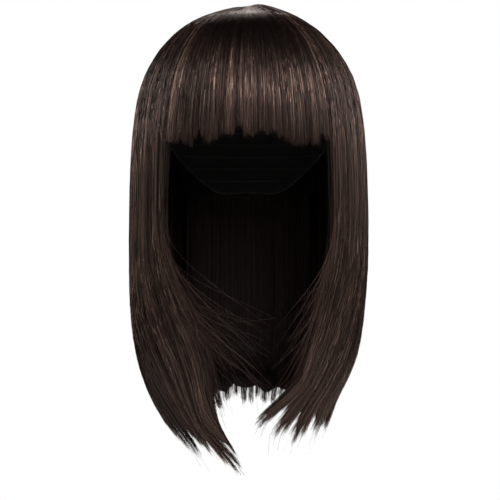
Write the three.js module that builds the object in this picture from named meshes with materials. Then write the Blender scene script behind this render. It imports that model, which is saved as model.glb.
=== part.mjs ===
// A straight bob wig with a full fringe: a sewn cap and the hair that hangs from it.
// Millimetres, +Z up, the face opening towards -Y and the wearer's left side towards +X.
// The origin is where the crown of a head meets the inside of the cap.
// Each section of hair is a wall between an outer surface, which follows the sections of the hairstyle,
// and an inner one, which lies on the cap and then hangs free. Locks stand out of the wall as ridges.
import * as THREE from "three";

// The head that the cap fits
const HEAD_BREADTH = 152;
const HEAD_LENGTH = 190;
const HEAD_RISE = 92; // from the widest level of the head up to its crown

// How far the hair stands out from that head
const SIDE_VOLUME = 27;
const FRONT_VOLUME = 11;
const BACK_VOLUME = 21;
const CROWN_LIFT = 10;
const CROWN_MIDDLE = 9.7; // how far behind the origin the hair stands highest
const CROWN_FALL = 3.5; // how much lower its top lies in front of there and behind
const CROWN_SLOPE = 40; // and how far from there it has come down by that much

// Lengths of the hair
const CURTAIN_LENGTH = 302; // from the widest level of the head down to the longest tip
const FRINGE_LENGTH = 115; // from the top of the hair down to the middle of the fringe
const NAPE_LENGTH = 186; // from the top of the nape hair down to its hem

// The parting on the crown
const PARTING_FRONT = 12;
const PARTING_BACK = 30;
const PARTING_DEPTH = 5;
const PARTING_HALF_WIDTH = 1.2;
const PARTING_OFFSET = -5.6;
const PARTING_RIDGE = 1.2; // how much higher the hair stands on the left of the wearer's parting

// The cap
const CAP_WALL = 1.6;
const FRONT_HAIRLINE = 58; // how far the cap's edge lies below the crown, in front
const EAR_TAB = 118;
const OVER_EAR = 98;
const NAPE_EDGE = 152;

// Walls of hair
const SEAT_GAP = 0.3;
const CAP_CLEARANCE = 1; // leaves room for the flat facets between the hair and the cap
const HANGING_WALL = 9;
const FRINGE_WALL = 3.2;
const NAPE_WALL = 6;
const TIP_WALL = 1.2;
const LOCK_RELIEF = 2.6;
const LEAVES_OVER = 42; // the height over which the hair leaves the cap and becomes a hanging wall

const DOME_DEPTH = HEAD_RISE + CROWN_LIFT;
const REACH = {
  side: HEAD_BREADTH / 2 + SIDE_VOLUME,
  front: HEAD_LENGTH / 2 + FRONT_VOLUME,
  back: HEAD_LENGTH / 2 + BACK_VOLUME,
};

// Horizontal sections of the hair's outer surface, from the parting to the longest tip.
// drop is a share of DOME_DEPTH; side is a share of the side reach; front and back are shares
// of the way from the parting's end to the front or back reach.
const DOME_SECTIONS = [
  { drop: 0.0, side: 0.085, front: 0.1, back: 0.12 },
  { drop: 0.034, side: 0.238, front: 0.191, back: 0.256 },
  { drop: 0.085, side: 0.373, front: 0.372, back: 0.419 },
  { drop: 0.136, side: 0.466, front: 0.489, back: 0.523 },
  { drop: 0.214, side: 0.577, front: 0.633, back: 0.64 },
  { drop: 0.299, side: 0.663, front: 0.729, back: 0.733 },
  { drop: 0.384, side: 0.739, front: 0.798, back: 0.802 },
  { drop: 0.47, side: 0.796, front: 0.851, back: 0.855 },
  { drop: 0.555, side: 0.845, front: 0.899, back: 0.895 },
  { drop: 0.66, side: 0.89, front: 0.94, back: 0.935 },
  { drop: 0.811, side: 0.932, front: 0.984, back: 0.977 },
  { drop: 1.0, side: 0.961, front: 1.0, back: 1.0 },
];
// The same below the widest level of the head, where drop is a share of CURTAIN_LENGTH.
// off is how far the section lies towards +X, as a share of the side reach.
const CURTAIN_SECTIONS = [
  { drop: 0.05, side: 0.976, front: 0.993, back: 1.0, off: 0 },
  { drop: 0.12, side: 0.99, front: 0.95, back: 0.996, off: 0 },
  { drop: 0.224, side: 1.0, front: 0.9, back: 0.983, off: 0 },
  { drop: 0.33, side: 1.004, front: 0.868, back: 0.962, off: 0 },
  { drop: 0.44, side: 1.0, front: 0.848, back: 0.932, off: -0.003 },
  { drop: 0.55, side: 0.982, front: 0.81, back: 0.892, off: -0.01 },
  { drop: 0.64, side: 0.946, front: 0.762, back: 0.84, off: -0.013 },
  { drop: 0.72, side: 0.875, front: 0.705, back: 0.762, off: -0.022 },
  { drop: 0.79, side: 0.782, front: 0.64, back: 0.66, off: -0.036 },
  { drop: 0.86, side: 0.688, front: 0.572, back: 0.54, off: -0.014 },
  { drop: 0.93, side: 0.575, front: 0.505, back: 0.4, off: 0.02 },
  { drop: 1.0, side: 0.44, front: 0.44, back: 0.26, off: 0.02 },
];

// How the hair falls by azimuth, in degrees from the front, the wearer's left being positive.
// hem, from and to are shares of CURTAIN_LENGTH: where the hair ends, and between which levels
// it sweeps towards the face by sweep degrees. Its ends curl in by hook degrees more.
const FALL = [
  { azimuth: -180, hem: 0.82, from: 0.62, to: 0.95, sweep: 0, hook: 0 },
  { azimuth: -145, hem: 0.83, from: 0.62, to: 0.95, sweep: 0, hook: 0 },
  { azimuth: -115, hem: 0.87, from: 0.6, to: 0.95, sweep: 12, hook: 0 },
  { azimuth: -90, hem: 0.92, from: 0.52, to: 0.95, sweep: 29, hook: 0 },
  { azimuth: -68, hem: 0.96, from: 0.4, to: 0.86, sweep: 26, hook: 10 },
  { azimuth: -55, hem: 1.0, from: 0.33, to: 0.78, sweep: 23, hook: 27 },
  { azimuth: -43, hem: 0.88, from: 0.27, to: 0.72, sweep: 25, hook: 0 },
  { azimuth: 43, hem: 0.86, from: 0.25, to: 0.72, sweep: 14, hook: 29 },
  { azimuth: 55, hem: 0.87, from: 0.28, to: 0.76, sweep: 18, hook: 25 },
  { azimuth: 68, hem: 0.895, from: 0.3, to: 0.84, sweep: 22, hook: 17 },
  { azimuth: 90, hem: 0.885, from: 0.42, to: 0.92, sweep: 20, hook: 5 },
  { azimuth: 115, hem: 0.88, from: 0.6, to: 0.95, sweep: 12, hook: 0 },
  { azimuth: 145, hem: 0.83, from: 0.62, to: 0.95, sweep: 0, hook: 0 },
  { azimuth: 180, hem: 0.82, from: 0.62, to: 0.95, sweep: 0, hook: 0 },
];
const HOOK_ABOVE = 0.14; // the ends curl in from this share of CURTAIN_LENGTH above their hem
const HOOK_BELOW = 0.03; // and would finish curling this far below it

// The edge of the cap, by azimuth on either side: how far it lies below the crown.
const CAP_EDGE = [
  { azimuth: 0, below: FRONT_HAIRLINE },
  { azimuth: 40, below: FRONT_HAIRLINE + (EAR_TAB - FRONT_HAIRLINE) * 0.3 },
  { azimuth: 66, below: EAR_TAB },
  { azimuth: 92, below: OVER_EAR },
  { azimuth: 125, below: OVER_EAR + (NAPE_EDGE - OVER_EAR) * 0.55 },
  { azimuth: 150, below: NAPE_EDGE },
  { azimuth: 180, below: NAPE_EDGE },
];

// Sections of hair and their locks. Each lock runs from the one before it to the azimuth "to".
// tip is how far its point passes the fall's hem, and notch how far above the hem the gap after
// it reaches, both as shares of the section's own length. rise scales its relief.
const FRINGE_LOCKS = {
  start: -43,
  notch: 0.02,
  locks: [
    { to: -34, tip: 0.005, notch: 0.01, rise: 0.8 },
    { to: -24.5, tip: 0.0, notch: 0.13, rise: 0.9 },
    { to: -14, tip: 0.012, notch: 0.015, rise: 1.0 },
    { to: -4.6, tip: 0.0, notch: 0.1, rise: 0.8 },
    { to: 6, tip: 0.008, notch: 0.02, rise: 1.0 },
    { to: 16.5, tip: -0.004, notch: 0.015, rise: 0.8 },
    { to: 27.5, tip: 0.01, notch: 0.02, rise: 1.0 },
    { to: 38.6, tip: 0.006, notch: 0.09, rise: 0.9 },
    { to: 43, tip: -0.01, notch: 0.03, rise: 0.6 },
  ],
};
const RIGHT_CHEEK_LOCKS = {
  start: -43,
  notch: 0.1,
  locks: [
    { to: -55, tip: 0.0, notch: 0.1, rise: 1.1 },
    { to: -66, tip: -0.005, notch: 0.07, rise: 0.9 },
    { to: -78, tip: -0.03, notch: 0.1, rise: 1.1 },
    { to: -90, tip: 0.0, notch: 0.06, rise: 0.9 },
    { to: -102, tip: 0.0, notch: 0.09, rise: 1.0 },
    { to: -115, tip: 0.0, notch: 0.04, rise: 0.9 },
  ],
};
const LEFT_CHEEK_LOCKS = {
  start: 43,
  notch: 0.06,
  locks: [
    { to: 55, tip: 0.0, notch: 0.1, rise: 1.1 },
    { to: 67, tip: 0.01, notch: 0.05, rise: 0.9 },
    { to: 79, tip: 0.015, notch: 0.08, rise: 1.0 },
    { to: 91, tip: 0.0, notch: 0.1, rise: 1.1 },
    { to: 103, tip: 0.0, notch: 0.06, rise: 0.9 },
    { to: 115, tip: 0.0, notch: 0.04, rise: 1.0 },
  ],
};
const BACK_LOCKS = {
  start: 115,
  notch: 0.04,
  locks: [
    { to: 130, tip: 0.0, notch: 0.03, rise: 0.9 },
    { to: 144, tip: 0.01, notch: 0.05, rise: 1.0 },
    { to: 158, tip: 0.0, notch: 0.03, rise: 0.8 },
    { to: 172, tip: 0.012, notch: 0.04, rise: 1.0 },
    { to: 187, tip: 0.0, notch: 0.05, rise: 0.9 },
    { to: 201, tip: 0.01, notch: 0.03, rise: 1.0 },
    { to: 216, tip: 0.0, notch: 0.05, rise: 0.8 },
    { to: 231, tip: 0.008, notch: 0.03, rise: 1.0 },
    { to: 245, tip: 0.0, notch: 0.04, rise: 0.9 },
  ],
};
const NAPE_LOCKS = {
  start: 122,
  notch: 0.06,
  locks: [
    { to: 141, tip: 0.0, notch: 0.05, rise: 0.8 },
    { to: 161, tip: 0.02, notch: 0.08, rise: 1.0 },
    { to: 180, tip: 0.0, notch: 0.05, rise: 0.8 },
    { to: 199, tip: 0.025, notch: 0.07, rise: 1.0 },
    { to: 219, tip: 0.0, notch: 0.05, rise: 0.8 },
    { to: 238, tip: 0.01, notch: 0.06, rise: 1.0 },
  ],
};

const FRINGE_CORNER_DROOP = 7.5; // how much lower the fringe ends at its corners than in its middle
const EDGE_THINNING = 24; // degrees over which a cheek section thickens from its edge by the face
const SHARED_ROWS = 10; // rows of the grid, from the parting down, that all sections have in common
const CAP_COLUMNS = 48;
const CAP_ROWS = 10;

const radians = THREE.MathUtils.degToRad;
const clamp = THREE.MathUtils.clamp;
const mix = THREE.MathUtils.lerp;
const smooth = THREE.MathUtils.smoothstep;

/** Reads a column of a table at x, on a smooth curve through its rows. */
function along(rows, at, column, x) {
  const last = rows.length - 1;
  const here = clamp(rows.findLastIndex((row) => row[at] <= x), 0, last - 1);
  const slope = (i) => {
    const before = rows[Math.max(i - 1, 0)];
    const after = rows[Math.min(i + 1, last)];
    return (after[column] - before[column]) / (after[at] - before[at]);
  };
  const [a, b] = [rows[here], rows[here + 1]];
  const span = b[at] - a[at];
  const s = clamp((x - a[at]) / span, 0, 1);
  const rising = s * s * (3 - 2 * s);
  return (
    mix(a[column], b[column], rising) +
    span * s * (1 - s) * ((1 - s) * slope(here) - s * slope(here + 1))
  );
}

/** The sections as rows in millimetres, numbered by level from 0 at the parting. */
function sectionsInMillimetres() {
  const scaled = (row, drop) => ({ ...row, drop, side: row.side * REACH.side });
  const parting = {
    drop: PARTING_DEPTH,
    side: PARTING_HALF_WIDTH,
    front: 0,
    back: 0,
    off: PARTING_OFFSET / REACH.side,
  };
  const dome = DOME_SECTIONS.map((row) => scaled({ ...row, off: 0 }, row.drop * DOME_DEPTH));
  const curtain = CURTAIN_SECTIONS.map((row) =>
    scaled(row, DOME_DEPTH + row.drop * CURTAIN_LENGTH),
  );
  return [parting, ...dome, ...curtain].map((row, level) => ({
    level,
    drop: row.drop,
    side: row.side,
    front: PARTING_FRONT + row.front * (REACH.front - PARTING_FRONT),
    back: PARTING_BACK + row.back * (REACH.back - PARTING_BACK),
    centre: row.off * REACH.side,
  }));
}
const SECTIONS = sectionsInMillimetres();
const LAST_LEVEL = SECTIONS.length - 1;

/** The level, as a number between rows, at which the outer surface lies this far below the top. */
function levelAt(drop) {
  let [low, high] = [1, LAST_LEVEL];
  for (let step = 0; step < 30; step++) {
    const middle = (low + high) / 2;
    if (along(SECTIONS, "level", "drop", middle) < drop) low = middle;
    else high = middle;
  }
  return (low + high) / 2;
}

/** The section at a level, brought outwards all round by a margin. */
function sectionAt(level, outwards = 0) {
  const read = (column) => along(SECTIONS, "level", column, level);
  return {
    drop: read("drop"),
    centre: read("centre"),
    side: read("side") + outwards,
    front: read("front") + outwards,
    back: read("back") + outwards,
  };
}

/** A point of an oval section, whose front and back halves have their own reach. */
function ovalPoint(section, azimuth, z) {
  const angle = radians(azimuth);
  const reach = Math.cos(angle) >= 0 ? section.front : section.back;
  return new THREE.Vector3(
    section.centre + section.side * Math.sin(angle),
    -reach * Math.cos(angle),
    z,
  );
}

/** Where a strand that starts at this azimuth has swept to at this drop. */
function sweptAzimuth(azimuth, drop) {
  const wrapped = THREE.MathUtils.euclideanModulo(azimuth + 180, 360) - 180;
  const fall = (column) => along(FALL, "azimuth", column, wrapped);
  const level = (drop - DOME_DEPTH) / CURTAIN_LENGTH;
  const swept = fall("sweep") * smooth(level, fall("from"), fall("to"));
  const hem = fall("hem");
  const hooked = fall("hook") * smooth(level, hem - HOOK_ABOVE, hem + HOOK_BELOW);
  return azimuth - Math.sign(wrapped) * (swept + hooked);
}

/** The outer surface of the hair, raised by the relief of its locks. */
function hairSurface(azimuth, level, raised) {
  const section = sectionAt(level, raised);
  const ridge = PARTING_RIDGE * Math.sin(radians(azimuth)) * (1 - smooth(level, 1, 5));
  const height = CROWN_LIFT - section.drop + ridge;
  const point = ovalPoint(section, sweptAzimuth(azimuth, section.drop), height);
  const sloped = smooth(Math.abs(point.y - CROWN_MIDDLE), 0, CROWN_SLOPE);
  return point.setZ(height - CROWN_FALL * sloped * (1 - smooth(level, 1, 6)));
}

/** The point of the cap's outside, plus a clearance, that lies under a point of the hair. */
function capBelow(azimuth, level, clearance) {
  const section = sectionAt(level);
  const height = Math.max(CROWN_LIFT - section.drop + HEAD_RISE, 0);
  const grown = new THREE.Vector3(
    HEAD_BREADTH / 2 + CAP_WALL + clearance,
    HEAD_LENGTH / 2 + CAP_WALL + clearance,
    HEAD_RISE + CAP_WALL + clearance,
  );
  const point = ovalPoint(section, azimuth, height).divide(grown).normalize().multiply(grown);
  return point.setZ(point.z - HEAD_RISE);
}

/** The inner surface of a hanging wall: the outer one brought inwards. */
function wallInside(azimuth, level, wall) {
  const section = sectionAt(level, -wall);
  return ovalPoint(section, sweptAzimuth(azimuth, section.drop), CROWN_LIFT - section.drop);
}

/** The columns of a section of hair: azimuth, relief and length for each, several to a lock. */
function columnsOf({ start, notch, locks }, cells) {
  const columns = [{ azimuth: start, relief: 0, tip: -notch }];
  let [from, gap] = [start, notch];
  for (const lock of locks) {
    for (let i = 1; i <= cells; i++) {
      const s = i / cells;
      const hump = Math.sin(Math.PI * s);
      const nearest = s < 0.5 ? gap : lock.notch;
      columns.push({
        azimuth: mix(from, lock.to, s),
        relief: lock.rise * Math.sqrt(Math.max(hump, 0)),
        tip: i === cells ? -lock.notch : mix(-nearest, lock.tip, Math.sqrt(hump)),
      });
    }
    [from, gap] = [lock.to, lock.notch];
  }
  return columns;
}

/** The azimuth that leaves half the seat gap between a section's edge and its neighbour. */
function trimmed(azimuth, level, towards) {
  const section = sectionAt(level);
  const angle = radians(azimuth);
  const reach = Math.cos(angle) >= 0 ? section.front : section.back;
  const pace = Math.hypot(section.side * Math.cos(angle), reach * Math.sin(angle));
  return azimuth + towards * THREE.MathUtils.radToDeg(SEAT_GAP / pace);
}

/** One closed wall between two grids of points of the same size. */
function wallGeometry(outer, inner) {
  const positions = [];
  const numbered = new Map();
  const index = [];
  const corner = (point) => {
    const key = point.toArray().map((value) => Math.round(value * 1e3)).join();
    if (!numbered.has(key)) {
      numbered.set(key, positions.length / 3);
      positions.push(...point.toArray());
    }
    return numbered.get(key);
  };
  const triangle = (a, b, c) => {
    if (a !== b && b !== c && c !== a) index.push(a, b, c);
  };
  const quad = (p, q, r, s) => {
    const [a, b, c, d] = [p, q, r, s].map(corner);
    triangle(a, b, c);
    triangle(a, c, d);
  };
  const rows = outer.length - 1;
  const columns = outer[0].length - 1;
  const around = outer[0][0].distanceTo(outer[0][columns]) < SEAT_GAP / 10
    && outer[rows][0].distanceTo(outer[rows][columns]) < SEAT_GAP / 10;
  for (let j = 0; j < rows; j++) {
    for (let i = 0; i < columns; i++) {
      quad(outer[j][i], outer[j + 1][i], outer[j + 1][i + 1], outer[j][i + 1]);
      quad(inner[j][i], inner[j][i + 1], inner[j + 1][i + 1], inner[j + 1][i]);
    }
    if (around) continue;
    quad(inner[j][0], inner[j + 1][0], outer[j + 1][0], outer[j][0]);
    quad(outer[j][columns], outer[j + 1][columns], inner[j + 1][columns], inner[j][columns]);
  }
  for (let i = 0; i < columns; i++) {
    quad(outer[0][i + 1], inner[0][i + 1], inner[0][i], outer[0][i]);
    quad(outer[rows][i], inner[rows][i], inner[rows][i + 1], outer[rows][i + 1]);
  }
  const geometry = new THREE.BufferGeometry();
  geometry.setAttribute("position", new THREE.Float32BufferAttribute(positions, 3));
  geometry.setIndex(index);
  geometry.computeVertexNormals();
  return geometry;
}

/** A grid of rows by columns of points. */
function grid(rows, columns, pointAt) {
  return Array.from({ length: rows + 1 }, (_, j) =>
    columns.map((column, i) => pointAt(column, j / rows, i)),
  );
}

/** A section of hair from the parting to its hem. endOf gives a column's last drop. */
function hairSection({ cells, rows, locks, endOf, leavesAt, leavesOver, wall }) {
  const columns = columnsOf(locks, cells);
  const edge = Math.abs(locks.start);
  if (locks.locks.at(-1).to < locks.start) columns.reverse();
  const ends = columns.map((column) => levelAt(endOf(column)));
  const placed = (column, share, i) => {
    const row = share * rows;
    const below = (row - SHARED_ROWS) / (rows - SHARED_ROWS);
    const level = below > 0 ? mix(SHARED_ROWS, ends[i], below) : row;
    const towards = (i === 0) - (i === columns.length - 1);
    return { level, azimuth: trimmed(column.azimuth, level, towards) };
  };
  const outer = grid(rows, columns, (column, share, i) => {
    const { level, azimuth } = placed(column, share, i);
    const fullness = sectionAt(level).side / REACH.side;
    return hairSurface(azimuth, level, (column.relief - 1) * LOCK_RELIEF * fullness ** 2);
  });
  const inner = grid(rows, columns, (column, share, i) => {
    const { level, azimuth } = placed(column, share, i);
    const { drop } = sectionAt(level);
    const thinning = smooth(share, 0.45, 1);
    const fromFace = smooth(Math.abs(column.azimuth), edge, edge + EDGE_THINNING);
    const full = mix(Math.min(wall, FRINGE_WALL), wall, fromFace);
    const thickness = mix(full, TIP_WALL, thinning) + LOCK_RELIEF * (1 - thinning / 2);
    const hanging = smooth(drop, leavesAt, leavesAt + leavesOver);
    const seated = capBelow(azimuth, level, CAP_CLEARANCE);
    return hanging > 0 ? seated.lerp(wallInside(azimuth, level, thickness), hanging) : seated;
  });
  return wallGeometry(outer, inner);
}

/** Where a hanging column ends: the fall's hem there, moved by the column's own tip. */
function hemOf(column) {
  const wrapped = THREE.MathUtils.euclideanModulo(column.azimuth + 180, 360) - 180;
  const hem = along(FALL, "azimuth", "hem", wrapped);
  return DOME_DEPTH + CURTAIN_LENGTH * Math.min(hem + column.tip, 1);
}

function fringe() {
  return hairSection({
    cells: 3,
    rows: 13,
    locks: FRINGE_LOCKS,
    endOf: ({ azimuth, tip }) =>
      FRINGE_LENGTH * (1 + tip) + FRINGE_CORNER_DROOP * smooth(Math.abs(azimuth), 4, 26),
    leavesAt: FRONT_HAIRLINE + CROWN_LIFT - 8,
    leavesOver: FRINGE_LENGTH - FRONT_HAIRLINE - CROWN_LIFT,
    wall: FRINGE_WALL,
  });
}

function hangingHair(locks, cells) {
  return hairSection({
    cells,
    rows: 22,
    locks,
    endOf: hemOf,
    leavesAt: DOME_DEPTH,
    leavesOver: LEAVES_OVER,
    wall: HANGING_WALL,
  });
}

/** A point of the cap's ellipsoid grown by a margin, at a height below the crown. */
function capPoint(azimuth, polar, grown) {
  const angle = radians(azimuth);
  const spread = Math.sin(polar);
  return new THREE.Vector3(
    (HEAD_BREADTH / 2 + grown) * spread * Math.sin(angle),
    -(HEAD_LENGTH / 2 + grown) * spread * Math.cos(angle),
    (HEAD_RISE + grown) * Math.cos(polar) - HEAD_RISE,
  );
}

/** The sewn cap: a thin dome from the crown to its edge round the forehead, ears and nape. */
function cap() {
  const columns = Array.from({ length: CAP_COLUMNS + 1 }, (_, i) => (i * 360) / CAP_COLUMNS);
  const edgeOf = (azimuth) => {
    const side = azimuth > 180 ? 360 - azimuth : azimuth;
    return Math.acos(1 - along(CAP_EDGE, "azimuth", "below", side) / HEAD_RISE);
  };
  const surface = (grown) =>
    grid(CAP_ROWS, columns, (azimuth, share) => capPoint(azimuth, share * edgeOf(azimuth), grown));
  return wallGeometry(surface(CAP_WALL), surface(0));
}

/** The short hair sewn to the cap over the nape, which hangs inside the back. */
function napeHair() {
  const columns = columnsOf(NAPE_LOCKS, 3);
  const rootBelow = OVER_EAR + (NAPE_EDGE - OVER_EAR) * 0.4;
  const polarAt = (below) => Math.acos(1 - below / HEAD_RISE);
  const point = (column, share, outside) => {
    const below = rootBelow + share * NAPE_LENGTH * (1 + column.tip);
    const onCap = polarAt(Math.min(below, NAPE_EDGE));
    const thickness = mix(TIP_WALL, NAPE_WALL, smooth(share, 0, 0.2)) * (1 - 0.6 * smooth(share, 0.5, 1));
    const relief = column.relief * LOCK_RELIEF * 0.6 * smooth(share, 0.05, 0.3);
    const grown = CAP_WALL + 1.3 * CAP_CLEARANCE + (outside ? thickness + relief : 0);
    const seat = capPoint(column.azimuth, onCap, grown);
    const curl = 1 - 0.14 * smooth(share, 0.55, 1) ** 2;
    return new THREE.Vector3(seat.x * curl, seat.y * curl, -below);
  };
  return wallGeometry(
    grid(14, columns, (column, share) => point(column, share, true)),
    grid(14, columns, (column, share) => point(column, share, false)),
  );
}

const HAIR = new THREE.MeshStandardMaterial({ color: 0x33261f, roughness: 0.42, metalness: 0 });
const NET = new THREE.MeshStandardMaterial({ color: 0x1a1514, roughness: 0.85, metalness: 0 });

function piece(name, geometry, material) {
  const mesh = new THREE.Mesh(geometry, material.clone());
  mesh.name = name;
  return mesh;
}

const wig = new THREE.Group();
wig.add(
  piece("cap", cap(), NET),
  piece("fringe", fringe(), HAIR),
  piece("side_hair_right", hangingHair(RIGHT_CHEEK_LOCKS, 4), HAIR),
  piece("side_hair_left", hangingHair(LEFT_CHEEK_LOCKS, 4), HAIR),
  piece("back_hair", hangingHair(BACK_LOCKS, 3), HAIR),
  piece("nape_hair", napeHair(), HAIR),
);
export default wig;
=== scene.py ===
"""Dresses the bob wig: strands of hair over a soft mass, and the sewn net cap that carries them.

Lengths are in metres, with +Z up, the face opening towards -Y and the origin where the crown of
a head meets the inside of the cap. The hairstyle's sections and locks are those of the solids.
"""

import logging
import math
from dataclasses import dataclass, field
from enum import Enum
from typing import Callable, NamedTuple

import bpy
import numpy as np
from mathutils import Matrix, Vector

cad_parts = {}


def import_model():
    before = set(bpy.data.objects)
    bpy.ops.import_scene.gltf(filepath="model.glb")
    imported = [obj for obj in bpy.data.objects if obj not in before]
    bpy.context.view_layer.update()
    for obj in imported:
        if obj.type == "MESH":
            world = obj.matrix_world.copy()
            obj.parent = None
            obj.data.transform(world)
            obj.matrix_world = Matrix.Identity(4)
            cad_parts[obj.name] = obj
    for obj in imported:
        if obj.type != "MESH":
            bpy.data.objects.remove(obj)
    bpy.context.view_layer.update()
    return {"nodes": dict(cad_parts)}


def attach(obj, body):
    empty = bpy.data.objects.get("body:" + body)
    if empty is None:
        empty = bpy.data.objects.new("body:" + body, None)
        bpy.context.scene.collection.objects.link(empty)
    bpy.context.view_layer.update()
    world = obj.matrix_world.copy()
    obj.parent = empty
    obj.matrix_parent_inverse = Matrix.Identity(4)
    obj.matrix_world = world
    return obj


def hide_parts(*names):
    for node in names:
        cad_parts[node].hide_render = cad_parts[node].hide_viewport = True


LOG = logging.getLogger("bob_wig")
MM = 0.001
TONE = "strand_tone"
STRIP_MAP = "OFBake"
FACE_EDGE = 43.0
SMALL = 1e-12
TURN_STEP = 0.4
LEVEL_STEP = 0.06
SHARP_EDGE = math.radians(50)


class Side(Enum):
    """The wearer's side of the face opening, by its sign along X."""

    RIGHT = -1
    LEFT = 1


class Layer(Enum):
    """The layers of strands on the outside of a section, by what each adds to its seed."""

    BODY = 0
    FINE = 500


class Draw(Enum):
    """What else a section draws at random, by what it adds to the section's seed."""

    WAVER = 1
    STREAK = 2
    BROAD = 3
    FINE = 4
    PATCHES = 5
    INNER_WAVER = 6
    INNER_STRANDS = 50


class Ribbon(Enum):
    """The section that a strand is given: how many faces lie across it."""

    FLAT = 1
    ARCHED = 2
    ROUND = 3


class SectionRow(NamedTuple):
    """One horizontal section of the hair: shares of the sizes that it follows."""

    drop: float
    side: float
    front: float
    back: float
    off: float = 0.0


class FallRow(NamedTuple):
    """How hair rooted at one azimuth falls: its end, its sweep to the face and its hooked tip."""

    azimuth: float
    hem: float
    start: float
    stop: float
    sweep: float
    hook: float = 0.0


class Lock(NamedTuple):
    """One lock: the azimuth that it reaches, its point, the notch after it and its relief."""

    to: float
    tip: float
    notch: float
    rise: float


DOME_ROWS = (
    SectionRow(0.0, 0.085, 0.1, 0.12),
    SectionRow(0.034, 0.238, 0.191, 0.256),
    SectionRow(0.085, 0.373, 0.372, 0.419),
    SectionRow(0.136, 0.466, 0.489, 0.523),
    SectionRow(0.214, 0.577, 0.633, 0.64),
    SectionRow(0.299, 0.663, 0.729, 0.733),
    SectionRow(0.384, 0.739, 0.798, 0.802),
    SectionRow(0.47, 0.796, 0.851, 0.855),
    SectionRow(0.555, 0.845, 0.899, 0.895),
    SectionRow(0.66, 0.89, 0.94, 0.935),
    SectionRow(0.811, 0.932, 0.984, 0.977),
    SectionRow(1.0, 0.961, 1.0, 1.0),
)
CURTAIN_ROWS = (
    SectionRow(0.05, 0.976, 0.993, 1.0),
    SectionRow(0.12, 0.99, 0.95, 0.996),
    SectionRow(0.224, 1.0, 0.9, 0.983),
    SectionRow(0.33, 1.004, 0.868, 0.962),
    SectionRow(0.44, 1.0, 0.848, 0.932, -0.003),
    SectionRow(0.55, 0.982, 0.81, 0.892, -0.01),
    SectionRow(0.64, 0.946, 0.762, 0.84, -0.013),
    SectionRow(0.72, 0.875, 0.705, 0.762, -0.022),
    SectionRow(0.79, 0.782, 0.64, 0.66, -0.036),
    SectionRow(0.86, 0.688, 0.572, 0.54, -0.014),
    SectionRow(0.93, 0.575, 0.505, 0.4, 0.02),
    SectionRow(1.0, 0.44, 0.44, 0.26, 0.02),
)
FALL_ROWS = (
    FallRow(-180, 0.82, 0.62, 0.95, 0),
    FallRow(-145, 0.83, 0.62, 0.95, 0),
    FallRow(-115, 0.87, 0.6, 0.95, 12),
    FallRow(-90, 0.92, 0.52, 0.95, 29),
    FallRow(-68, 0.96, 0.4, 0.86, 26, 10),
    FallRow(-55, 1.0, 0.33, 0.78, 23, 27),
    FallRow(-43, 0.88, 0.27, 0.72, 25),
    FallRow(43, 0.86, 0.25, 0.72, 14, 29),
    FallRow(55, 0.87, 0.28, 0.76, 18, 25),
    FallRow(68, 0.895, 0.3, 0.84, 22, 17),
    FallRow(90, 0.885, 0.42, 0.92, 20, 5),
    FallRow(115, 0.88, 0.6, 0.95, 12),
    FallRow(145, 0.83, 0.62, 0.95, 0),
    FallRow(180, 0.82, 0.62, 0.95, 0),
)


class Table:
    """A smooth curve through the rows of a table, column by column."""

    def __init__(self, at: np.ndarray, columns: dict[str, np.ndarray]) -> None:
        """Keeps the table.

        Args:
            at: where each row stands.
            columns: the values of each named column.
        """
        self.at = at
        self.columns = columns

    def read(self, column: str, x: np.ndarray) -> np.ndarray:
        """Reads a column at many places.

        Args:
            column: the column's name.
            x: the places, inside the table's span or held to its ends.

        Returns:
            The values there.
        """
        values = self.columns[column]
        last = len(self.at) - 1
        before = np.maximum(np.arange(last + 1) - 1, 0)
        after = np.minimum(np.arange(last + 1) + 1, last)
        slopes = (values[after] - values[before]) / (self.at[after] - self.at[before])
        here = np.clip(np.searchsorted(self.at, x, side="right") - 1, 0, last - 1)
        span = self.at[here + 1] - self.at[here]
        s = np.clip((x - self.at[here]) / span, 0, 1)
        rising = s * s * (3 - 2 * s)
        level = values[here] * (1 - rising) + values[here + 1] * rising
        return level + span * s * (1 - s) * ((1 - s) * slopes[here] - s * slopes[here + 1])


def smooth(x: np.ndarray, start: float | np.ndarray, stop: float | np.ndarray) -> np.ndarray:
    """A smooth step from 0 at start to 1 at stop."""
    s = np.clip((x - start) / (stop - start), 0, 1)
    return s * s * (3 - 2 * s)


def mix(a: np.ndarray, b: np.ndarray, share: np.ndarray) -> np.ndarray:
    """A value the given share of the way from a to b."""
    return a + (b - a) * share


def bell(x: np.ndarray, width: float) -> np.ndarray:
    """A bell curve, 1 at 0 and about a third at one width from it."""
    return np.exp(-((x / width) ** 2))


def wrapped(azimuth: np.ndarray) -> np.ndarray:
    """An azimuth brought between -180 and 180 degrees."""
    return (azimuth + 180) % 360 - 180


def unit(vectors: np.ndarray) -> np.ndarray:
    """Vectors of length 1 in the same directions."""
    return vectors / (np.linalg.norm(vectors, axis=-1, keepdims=True) + SMALL)


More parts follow.
